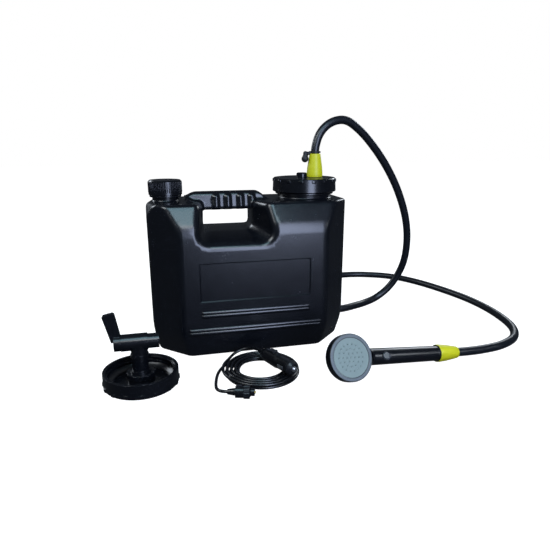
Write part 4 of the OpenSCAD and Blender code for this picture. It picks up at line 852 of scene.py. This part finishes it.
class SHOWER_OT_can(bpy.types.Operator):
    """Draw the can's blow-moulded skin with its handle, panel, beads and necks"""

    bl_idname = "shower.can"
    bl_label = "Can"

    def execute(self, context):
        can = context.scene.shower_can
        black = MATERIALS["can_plastic"]
        field = self.field(can)
        # Corners of the box round the whole skin, and of the box round the handle, where the skin is finer
        low, high = (-166, -88, -3), (166, 88, 262)
        grip_low = (can.gap_left / MM - 28, -24, can.handle_under / MM - 2)
        grip_high = (can.gap_right / MM + 26, 24, high[2])
        skin = skin_mesh("can", field, low, high, can.detail / MM, 0.03, (grip_low, grip_high))
        skin = self.cut_panels(skin, can)
        shade_by_field(skin, field)
        skin.materials.clear()
        skin.materials.append(black)
        # Half length and height of the upper and the lower pair of beads
        beads = [self.bead_pair(can, half, height) for half, height in ((0.085, 0.0725), (0.105, 0.0445))]
        necks = self.necks(can)
        for neck in necks:
            neck.materials.append(black)
        body = join("can", [placed(skin)] + beads + necks)
        replace_nodes(body, STILL_BODY, "can_plastic", "can_body")
        return {"FINISHED"}

    @staticmethod
    def field(can):
        """Distance field of the can's outside, in millimetres."""
        mm = {name: getattr(can, name) / MM for name in CanSizes.__annotations__}
        half_w, half_d = mm["width"] / 2, mm["depth"] / 2
        crease, base_height, shoulder = mm["crease"], mm["base_height"], mm["shoulder"]
        top, top_inset = mm["top"], mm["top_inset"]
        gap_left, gap_right = mm["gap_left"], mm["gap_right"]
        gap_floor, gap_lip = mm["gap_floor"], mm["gap_lip"]
        under, over = mm["handle_under"], mm["handle_top"]
        corner_far = (half_w + half_d - mm["corner_cut"]) / math.sqrt(2)
        # How far the base is drawn in at the ends, sides and cut corners, and the turn at each crease
        end_in, side_in, corner_in, crease_turn = 9, 8, 12, 45
        # Ease of the bends at the drawn-in base, the shoulder, the facet, the top edge and the bottom edge
        base_ease, shoulder_ease, facet_ease, top_ease, bottom_ease = 4, 5.5, 2.5, 5, 7
        # Depth over which the gap keeps its middle shape, and how it opens towards the front and back
        gap_core, gap_bend, flare_left, flare_right, gap_r, gap_r_more = 20, 0.1, 14, 24, 14, 6
        floor_fall_front, floor_fall_back = 12, 4
        gap_high = over + 60
        # Ease at the gap's edge and its bevel, and where the root and the handle grow out of the can
        gap_ease, lip_ease, root_fillet, grip_fillet = 1, 3, 6, 5
        # The handle's half thickness at its foot and its top
        grip_low, grip_high, grip_r = 16, 11, 7
        # A point on each slant at the handle's ends and on the root's slant, and the way that slant faces
        left_at, left_way, left_limit = (gap_left - 14, over), (-0.55, 0.835), gap_left - 25
        right_at, right_way = (gap_right + 15.2, over - 1.4), (0.642, 0.767)
        root_at, root_way = (gap_left - 26, over - 6), (0.66, 0.75)
        end_ease, grip_ease, root_ease = 3, 4, 4
        # Half the width, the right limit and the depth in the can of the root at the handle's left end
        root_half, root_right, root_deep = 40, gap_left - 4, 20
        # The finger bars' middles, radius, drop below the handle's top, foot and rise out of the handle
        bar_middles = (-51.7, -32.3, -11.5, 7.2)
        bar_r, bar_drop, bar_foot, bar_proud = 5.2, 9, under + 1, 3.6
        bar_foot_ease, bar_ease, bar_fillet = 2, 6, 3
        # Middle and radius of the stub below each neck, and the stubs' half height and fillet
        stubs, stub_half, stub_fillet = ((CAP_CENTRE.x / MM, 20.7), (LID_CENTRE.x / MM, 44.7)), 6, 4
        # Unit normal of the facet that cuts each left top corner, and the point it goes through
        facet, facet_at = (-0.849, 0.156, 0.505), (-half_w + 24.5, half_d - top_inset, top + 16)

        def wall(across, far, drawn, z):
            upright = across - far
            slant = drawn / base_height
            foot = (upright + drawn - slant * z) / math.hypot(1, slant)
            return smooth_max(upright, foot, base_ease)

        def tilted(x, z, at, way):
            return (x - at[0]) * way[0] + (z - at[1]) * way[1]

        def shell(x, y, z):
            ax, ay = np.abs(x), np.abs(y)
            side, end = wall(ay, half_d, side_in, z), wall(ax, half_w, end_in, z)
            corner = wall((ax + ay) / math.sqrt(2), corner_far, corner_in, z)
            f = eased_max(side, corner, crease, crease_turn)
            f = eased_max(f, end, crease, crease_turn)
            rise = top - shoulder
            slope = ((ay - half_d) * rise + (z - shoulder) * top_inset) / math.hypot(rise, top_inset)
            f = smooth_max(f, slope, shoulder_ease)
            chip = sum(n * (c - at) for n, c, at in zip(facet, (x, ay, z), facet_at))
            f = smooth_max(f, chip, facet_ease)
            f = smooth_max(f, z - top, top_ease)
            return smooth_max(f, -z, bottom_ease)

        def hand_gap(x, y, z):
            out = ramp((np.abs(y) - gap_core) / (half_d - gap_core), gap_bend)
            left, right = gap_left - flare_left * out, gap_right + flare_right * out
            floor = gap_floor - np.where(y < 0, floor_fall_front, floor_fall_back) * out
            across, up = x - (left + right) / 2, z - (floor + gap_high) / 2
            half_x, half_z = (right - left) / 2, (gap_high - floor) / 2
            return rect_field(across, up, half_x, half_z, gap_r + gap_r_more * out)

        def left_end(x, z):
            return smooth_max(tilted(x, z, left_at, left_way), left_limit - x, end_ease)

        def bar(x, y, z):
            rise = np.clip((z - under) / (over - under), 0, 1)
            deep = grip_low + (grip_high - grip_low) * rise
            tube = rect_field(y, z - (under + over) / 2, deep, (over - under) / 2, grip_r)
            ends = smooth_max(left_end(x, z), tilted(x, z, right_at, right_way), end_ease)
            return smooth_max(tube, ends, grip_ease)

        def root(x, y, z):
            beside = np.maximum(x - root_right, top - root_deep - z)
            beside = smooth_max(beside, np.abs(y) - root_half, root_ease)
            beside = smooth_max(left_end(x, z), beside, root_ease)
            return smooth_max(tilted(x, z, root_at, root_way), beside, root_ease)

        def whole(x, y, z):
            skin, hollow, grip = shell(x, y, z), -hand_gap(x, y, z), bar(x, y, z)
            f = smooth_max(skin, hollow, gap_ease)
            f = smooth_max(f, (skin + hollow + gap_lip) / math.sqrt(2), lip_ease)
            f = smooth_min(smooth_min(f, root(x, y, z), root_fillet), grip, grip_fillet)
            for middle in bar_middles:
                face = np.hypot(x - middle, np.maximum(z - over + bar_drop, 0)) - bar_r
                face = smooth_max(face, bar_foot - z, bar_foot_ease)
                f = smooth_min(f, smooth_max(face, grip - bar_proud, bar_ease), bar_fillet)
            for middle, radius in stubs:
                stub = np.maximum(np.hypot(x - middle, y) - radius, np.abs(z - top) - stub_half)
                f = smooth_min(f, stub, stub_fillet)
            return f

        return whole

    @staticmethod
    def cut_panels(skin, can):
        """Sink the bare panel into the front and the back, with sloping edges."""
        wide, tall = can.panel_width / MM / 2, can.panel_height / MM / 2
        middle, deep = can.panel_middle / MM, can.panel_depth / MM
        made = add_object("can_skin", skin)
        cutters = []
        for side in (-1, 1):
            face = side * can.depth / MM / 2
            points = []
            for away, grow in ((-deep, 0), (deep, 2 * deep)):
                for x, z in ((-1, -1), (1, -1), (1, 1), (-1, 1)):
                    points.append((x * (wide + grow), face + side * away, middle + z * (tall + grow)))
            faces = [(0, 1, 2, 3), (7, 6, 5, 4)]
            faces += [(k + 4, (k + 1) % 4 + 4, (k + 1) % 4, k) for k in range(4)]
            if side < 0:
                faces = [f[::-1] for f in faces]
            cutter = add_object("panel_cutter", mesh_of("panel_cutter", points, faces))
            cut = made.modifiers.new("Panel", "BOOLEAN")
            cut.operation = "DIFFERENCE"
            cut.solver = "MANIFOLD"
            cut.object = cutter
            cutters.append(cutter)
        mesh = plain_mesh(made)
        for cutter in cutters:
            bpy.data.objects.remove(cutter)
        return mesh

    @staticmethod
    def bead_pair(can, half, height):
        """A pair of raised beads along the front, and another along the back."""
        radius, apart, sunk, tip, sides = 0.0040, 0.0050, 0.0021, 0.00005, 16
        turns = np.linspace(0, math.pi / 2, 7)
        ends = half + radius * np.sin(turns)
        along = np.concatenate([-ends[::-1], ends])
        wide = np.concatenate([np.cos(turns)[::-1], np.cos(turns)]) * radius
        path = np.array([(x, sunk - can.depth / 2, height - apart / 2) for x in along])
        bead = tube_mesh("bead", path, np.maximum(wide, tip), sides)
        pair = copies(bead, 2, MATERIALS["can_plastic"], step=(0, 0, apart))
        return ring_of(pair, 2, MATERIALS["can_plastic"])

    @staticmethod
    def necks(can):
        """The two screw necks above the can's top."""
        made = []
        low, ring, ring_top = can.top - 0.001, can.top + 0.007, can.top + 0.010
        wall, ring_proud, edge, thread_below = 0.003, 0.004, 0.0008, 0.004
        # Each neck's middle, radius, rim height, thread pitch and turns of thread
        for centre, radius, rim, pitch, turns in ((CAP_CENTRE, 0.021, 0.2695, 0.004, 2),
                                                  (LID_CENTRE, 0.045, 0.2662, 0.006, 1.2)):
            bore, proud = radius - wall, radius + ring_proud
            profile = [(bore, low), (radius, low), (radius, ring), (proud, ring), (proud, ring_top),
                       (radius, ring_top), (radius, rim), (bore, rim)]
            made.append(lathe_mesh("neck", rounded(profile, edge), 96, Matrix.Translation(centre)))
            start = rim - thread_below - pitch * turns
            made.append(thread_mesh("thread", centre, radius, start, pitch, turns))
        return made


def thread_mesh(name, centre, radius, start, pitch, turns):
    """A raised screw ridge round a neck."""
    steps, fade_steps, faintest = round(turns * 60), 6, 0.05
    foot, proud, foot_half, crest_half = radius - 0.0004, 0.0026, 0.0013, 0.0009
    points, faces = [], []
    for i in range(steps + 1):
        turn = 2 * math.pi * turns * i / steps
        fade = min(1, i / fade_steps, (steps - i) / fade_steps)
        crest = foot + proud * max(fade, faintest)
        middle = start + pitch * turns * i / steps
        for r, up in ((foot, -foot_half), (foot, foot_half), (crest, crest_half), (crest, -crest_half)):
            points.append((centre.x + r * math.cos(turn), centre.y + r * math.sin(turn), middle + up))
    for i in range(steps):
        for k in range(4):
            a, b = 4 * i + k, 4 * i + (k + 1) % 4
            faces.append((a, a + 4, b + 4, b))
    faces.append((0, 1, 2, 3))
    faces.append(tuple(4 * steps + k for k in (3, 2, 1, 0)))
    return mesh_of(name, points, faces, 50)


class SHOWER_OT_lids(bpy.types.Operator):
    """Draw the filler cap and the pump lid's ring, and finish what stands on the lid"""

    bl_idname = "shower.lids"
    bl_label = "Caps and pump lid"

    def execute(self, context):
        self.filler_cap()
        self.lid_ring()
        for name in ("outlet_spigot", "spigot_nut", "power_socket", "socket_nut"):
            finish_node(name, "cap_plastic")
        finish_node("port_plate", "plate_plastic")
        for name in ("filler_liner", "lid_slip_ring"):
            finish_node(name, "clear_plastic", 0)
        self.dust_plug()
        for name in ("lid_gasket", "hose_washers"):
            finish_node(name, "seal_rubber")
        for name in ("socket_pins", "hose_tails"):
            finish_node(name, "brass", 0)
        return {"FINISHED"}

    @staticmethod
    def filler_cap():
        """A screw cap with fine ribs above a plain skirt."""
        black = MATERIALS["cap_plastic"]
        low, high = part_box("filler_cap")
        bottom, top = low[2], high[2]
        radius, bore, roof, top_edge, foot_edge = 0.0263, 0.0236, 0.004, 0.0022, 0.0005
        rib_half, rib_sunk, rib_proud, rib_edge, ribs = 0.0007, 0.001, 0.0004, 0.0005, 60
        skirt, rib_below = 0.004, 0.0026
        profile = [(0, top), (radius - top_edge, top), (radius, top - top_edge),
                   (radius, bottom + foot_edge), (radius - foot_edge, bottom),
                   (bore, bottom), (bore, top - roof), (0, top - roof)]
        body = lathe_mesh("filler_cap", profile, 120)
        body.materials.append(black)
        rib_low = (radius - rib_sunk, -rib_half, bottom + skirt)
        rib_high = (radius + rib_proud, rib_half, top - rib_below)
        rib = block_mesh("rib", rib_low, rib_high, rib_edge)
        cap = join("filler_cap_shell", [body, ring_of(rib, ribs, black)])
        cap.data.transform(Matrix.Translation(CAP_CENTRE))
        replace_nodes(cap, "filler_cap", "cap_plastic", "filler_cap")

    @staticmethod
    def lid_ring():
        """The pump lid's ring: a slightly tapered wall with grips near its top."""
        black = MATERIALS["cap_plastic"]
        low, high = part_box("lid_ring")
        bottom, top = low[2], high[2]
        foot, head, bore, foot_edge, head_edge = 0.0536, 0.0526, 0.0484, 0.0008, 0.0012
        lip, lip_under = 0.0434, 0.0032
        grip_out, grip_half, grip_sunk, grip_edge, grips = 0.0540, 0.0035, 0.002, 0.0009, 16
        profile = [(foot - foot_edge, bottom), (foot, bottom + foot_edge), (head, top - head_edge),
                   (head - head_edge, top), (lip, top), (lip, top - lip_under), (bore, top - lip_under),
                   (bore, bottom)]
        ring = lathe_mesh("lid_ring", profile, 160)
        ring.materials.append(black)
        grip_low = (head - grip_sunk, -grip_half, top - 0.0065)
        grip_high = (grip_out, grip_half, top - 0.0015)
        grip = block_mesh("grip", grip_low, grip_high, grip_edge)
        made = join("lid_ring_shell", [ring, ring_of(grip, grips, black)])
        made.data.transform(Matrix.Translation(LID_CENTRE))
        replace_nodes(made, "lid", "cap_plastic", "lid_ring")

    @staticmethod
    def dust_plug():
        """A rubber ball on a strap whose ring hugs the hose."""
        hose_r, ring_r, thick, reach, drop, ball_r = 7.3, 9.4, 3, 17.5, 9.5, 6
        # Where the strap starts, its length, its radius and its depth below the ring's underside
        strap_start, strap_length, strap_r, strap_low = ring_r - 1, reach - ring_r, 3, 0.2
        plug_ease, ring_ease, hole_ease = 3, 2, 0.5

        def field(x, y, z):
            off = np.hypot(x, y)
            ring = np.maximum(off - ring_r, np.abs(z - thick / 2) - thick / 2)
            along = np.clip((x - strap_start) / strap_length, 0, 1)
            strap_x, strap_z = strap_start + along * strap_length, -strap_low - along
            strap = np.sqrt((x - strap_x) ** 2 + y ** 2 + (z - strap_z) ** 2) - strap_r
            neck = np.hypot(np.hypot(x - reach, y), np.maximum(-z - drop, 0) + np.maximum(z, 0)) - strap_r
            ball = np.sqrt((x - reach) ** 2 + y ** 2 + (z + drop) ** 2) - ball_r
            f = smooth_min(smooth_min(strap, neck, plug_ease), ball, plug_ease)
            return smooth_max(smooth_min(f, ring, ring_ease), hose_r - off, hole_ease)

        mesh = skin_mesh("dust_plug", field, (-12, -12, -18), (26, 12, 6), 0.5, 0.01)
        shade_by_field(mesh, field)
        above_nut = OUTLET + Vector((0, 0, NUT_LENGTH + 0.001))
        place = Matrix.Translation(above_nut) @ Matrix.Rotation(math.pi, 4, "Z")
        made = add_object("dust_plug_strap", placed(mesh, place), MATERIALS["seal_rubber"])
        replace_nodes(made, "dust_plug", "seal_rubber", "dust_plug")


class SHOWER_OT_hose_nuts(bpy.types.Operator):
    """Turn the two lime hose nuts"""

    bl_idname = "shower.hose_nuts"
    bl_label = "Hose nuts"

    def execute(self, context):
        for body, place in (("lid_hose_nut", Matrix.Translation(OUTLET)), ("handset_hose_nut", GRIP_END)):
            nut = add_object(body + "_shell", self.nut_mesh(place), MATERIALS["lime_plastic"])
            replace_nodes(nut, body, "lime_plastic", body)
        return {"FINISHED"}

    @staticmethod
    def nut_mesh(place):
        outer = [(0.0135, 0.0006), (0.0136, 0.0045), (0.0133, 0.0085), (0.0127, 0.0160), (0.0115, 0.0240),
                 (0.0103, 0.0320), (0.0093, 0.0385), (0.0089, 0.0390)]
        inner = [(0.0073, 0.0390), (0.0073, 0.0203), (0.0105, 0.0203), (0.0105, 0.0028), (0.0129, 0.0028),
                 (0.0129, 0.0003)]
        return lathe_mesh("hose_nut", rounded(outer + inner, 0.0008), 72, place)


class SHOWER_OT_handset(bpy.types.Operator):
    """Draw the hand shower's shell and finish its head"""

    bl_idname = "shower.handset"
    bl_label = "Hand shower"

    def execute(self, context):
        shell = skin_mesh("handset", self.field, (-38, -14, -38), (178, 24, 38), 0.9, 0.02)
        shade_by_field(shell, self.field)
        piece = add_object("handset", placed(shell, HANDSET), MATERIALS["handset_plastic"])
        replace_nodes(piece, STILL_BODY, "handset_plastic", "handset_shell")
        self.bezel()
        finish_node("flow_button", "button_plastic")
        finish_node("spray_plate", "spray_face", 0.0003)
        finish_node("nozzle_mat", "nozzle_rubber", 0.0002)
        finish_node("head_seal", "seal_rubber", 0.0002)
        finish_node("button_spring", "steel", 0)
        press_spring("button_spring")
        return {"FINISHED"}

    @staticmethod
    def bezel():
        """The rim round the spray face: a dark side, a grey front, and a thin dark ring by the face that is
        painted shade of the groove.
        """
        place = HANDSET @ Matrix.Rotation(math.pi / 2, 4, "X")
        rings = {
            "handset_plastic": [(29.2, 4), (34.5, 4), (34.5, 7.6), (33.9, 8.5), (30.6, 8.5), (30.6, 5.8),
                                (29.2, 5.8)],
            "bezel_plastic": [(28.9, 8.5), (29.1, 7.8), (33.3, 7.8), (33.5, 8.6), (33.1, 8.9), (32.5, 9),
                              (29.4, 9)],
            # The seal_rubber ring here is painted shade: a dark ring set where the groove between rim and
            # face lies in shadow, not a real seal.
            "seal_rubber": [(28.3, 8.0), (28.95, 8.0), (28.95, 8.4), (28.8, 8.5), (28.4, 8.4)],
        }
        meshes = []
        for finish, profile in rings.items():
            mesh = lathe_mesh(finish, [(MM * r, MM * z) for r, z in profile], 96, place)
            mesh.materials.append(MATERIALS[finish])
            meshes.append(mesh)
        replace_nodes(join("handset_rim", meshes), STILL_BODY, "handset_plastic", "handset_bezel")

    @staticmethod
    def field(x, y, z):
        """Distance field of the shell in its own frame, in millimetres: handle along X, face towards -Y."""
        head_r, front, dome = HEAD_RADIUS / MM, -4, 15
        # Where the head starts to draw in behind its face, how far it does, and the ease of its bends
        back_start, drawn_in, back_bend, dome_ease = 4, 18, 0.25, 6
        # The grip's offset, its two ends, its taper and its radius, and the ease of its ends and its root
        grip_y, grip_start, grip_end = GRIP_OFFSET / MM, 12, GRIP_LENGTH / MM
        taper_start, taper_length, grip_r, grip_thinner = 30, 120, 12.6, 1.0
        grip_ease, head_fillet = 1.5, 5
        # How far past the head's side its flat face is cut
        face_edge = 0.3
        # Radius, middle and half length of the flange and the stub at the grip's end
        flange_r, flange_x, flange_half = 12.6, 158, 1.5
        stub_r, stub_x, stub_half = 10.2, 160, 12
        # Middle, radius, floor and edge of the flow button's well
        well_x, well_r, well_floor, well_ease = 58, 5.8, -3.8, 0.8
        off, grip_off = np.hypot(x, z), np.hypot(y - grip_y, z)
        belly = off - head_r + drawn_in * ramp((y - back_start) / (dome - back_start), back_bend) ** 2
        head = smooth_max(belly, y - dome, dome_ease)
        thick = grip_r - grip_thinner * np.clip((x - taper_start) / taper_length, 0, 1)
        grip = smooth_max(grip_off - thick, np.maximum(x - grip_end, grip_start - x), grip_ease)
        f = smooth_min(head, grip, head_fillet)
        f = np.maximum(f, np.where(off < head_r + face_edge, front - y, -1e3))
        flange = np.maximum(grip_off - flange_r, np.abs(x - flange_x) - flange_half)
        stub = np.maximum(grip_off - stub_r, np.abs(x - stub_x) - stub_half)
        f = np.minimum(f, np.minimum(flange, stub))
        well = np.maximum(np.hypot(x - well_x, z) - well_r, y - well_floor)
        return smooth_max(f, -well, well_ease)


class SHOWER_OT_tap(bpy.types.Operator):
    """Finish the spare lid with its tap"""

    bl_idname = "shower.tap"
    bl_label = "Tap lid"

    def execute(self, context):
        for name in ("tap_cap", "tap_body", "tap_nut", "tap_lever", "tap_plug"):
            finish_node(name, "cap_plastic")
        finish_node("tap_o_rings", "seal_rubber", 0.0002)
        finish_node("tap_lever_screw", "steel", 0.0002)
        self.gasket()
        return {"FINISHED"}

    @staticmethod
    def gasket():
        """The seal inside the tap lid, dished up towards its wall."""
        low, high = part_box("tap_gasket")
        outer, inner = (high[0] - low[0]) / 2, 0.0403
        steep, gentle, points = 48, 20, 9
        tilts = np.radians(np.linspace(steep, gentle, points))
        bend = (outer - inner) / (math.sin(tilts[0]) - math.sin(tilts[-1]))
        across = inner + bend * (np.sin(tilts) - math.sin(tilts[-1]))
        up = high[2] + bend * (math.cos(tilts[-1]) - np.cos(tilts))
        place = Matrix.Translation(((low[0] + high[0]) / 2, (low[1] + high[1]) / 2, 0))
        profile = [(inner, low[2]), (outer, low[2]), *zip(across, up)]
        mesh = lathe_mesh("tap_seal", profile, 120, place)
        made = add_object("tap_seal", mesh, MATERIALS["gasket_rubber"])
        replace_nodes(made, STILL_BODY, "seal_rubber", "tap_gasket")


class SHOWER_OT_fittings(bpy.types.Operator):
    """Finish the plug and the connector on the lead"""

    bl_idname = "shower.fittings"
    bl_label = "Lead fittings"

    def execute(self, context):
        for name in ("lead_connector", "car_plug_body"):
            finish_node(name, "plug_plastic")
        for name in ("connector_ring", "car_plug_nose", "rocker_switch"):
            finish_node(name, "plate_plastic", 0.0003)
        for name in ("car_plug_tip", "tip_spring", "side_contacts"):
            finish_node(name, "steel", 0.0002)
        press_spring("tip_spring")
        finish_node("connector_pins", "brass", 0)
        finish_node("car_plug_fuse", "clear_plastic", 0)
        return {"FINISHED"}


class SHOWER_OT_pump(bpy.types.Operator):
    """Finish the pump and the riser inside the can"""

    bl_idname = "shower.pump"
    bl_label = "Pump"

    def execute(self, context):
        for name in ("pump_top_cap", "pump_housing", "pump_strainer"):
            finish_node(name, "pump_plastic")
        for name in ("riser_clips", "motor_can", "motor_shaft"):
            finish_node(name, "steel", 0.0002)
        finish_node("riser_tube", "clear_plastic", 0)
        finish_node("impeller", "lime_plastic", 0.0003)
        finish_node("motor_end_plate", "plate_plastic", 0.0002)
        finish_node("rotor_core", "rotor_metal", 0.0003)
        finish_node("motor_magnets", "magnet", 0.0002)
        finish_node("motor_bearings", "brass", 0)
        finish_node("shaft_seal", "seal_rubber", 0)
        finish_node("pump_cable", "lead_rubber", 0)
        return {"FINISHED"}


OPERATORS = [SHOWER_OT_stage, SHOWER_OT_cords, SHOWER_OT_can, SHOWER_OT_lids, SHOWER_OT_hose_nuts,
             SHOWER_OT_handset, SHOWER_OT_tap, SHOWER_OT_fittings, SHOWER_OT_pump]


class SHOWER_PT_kit(bpy.types.Panel):
    """Camp shower kit"""

    bl_idname = "SHOWER_PT_kit"
    bl_label = "Camp Shower Kit"
    bl_space_type = "VIEW_3D"
    bl_region_type = "UI"
    bl_category = "Camp Shower"

    def draw(self, context):
        for operator in OPERATORS:
            self.layout.operator(operator.bl_idname)


GROUPS = {"shower_can": CanSizes, "shower_cords": CordSizes, "shower_colours": KitColours,
          "shower_view": ViewSettings}
CLASSES = [*GROUPS.values(), *OPERATORS, SHOWER_PT_kit]


def register():
    """Register the add-on's classes."""
    for made in CLASSES:
        bpy.utils.register_class(made)
    for name, group in GROUPS.items():
        setattr(bpy.types.Scene, name, PointerProperty(type=group))


def unregister():
    """Remove the add-on's classes."""
    for name in GROUPS:
        delattr(bpy.types.Scene, name)
    for made in reversed(CLASSES):
        bpy.utils.unregister_class(made)


def main():
    register()
    colours = bpy.context.scene.shower_colours
    make_materials({name: getattr(colours, name) for name in KitColours.__annotations__})
    for operator in OPERATORS:
        group, call = operator.bl_idname.split(".")
        getattr(getattr(bpy.ops, group), call)()


if __name__ == "__main__":
    main()
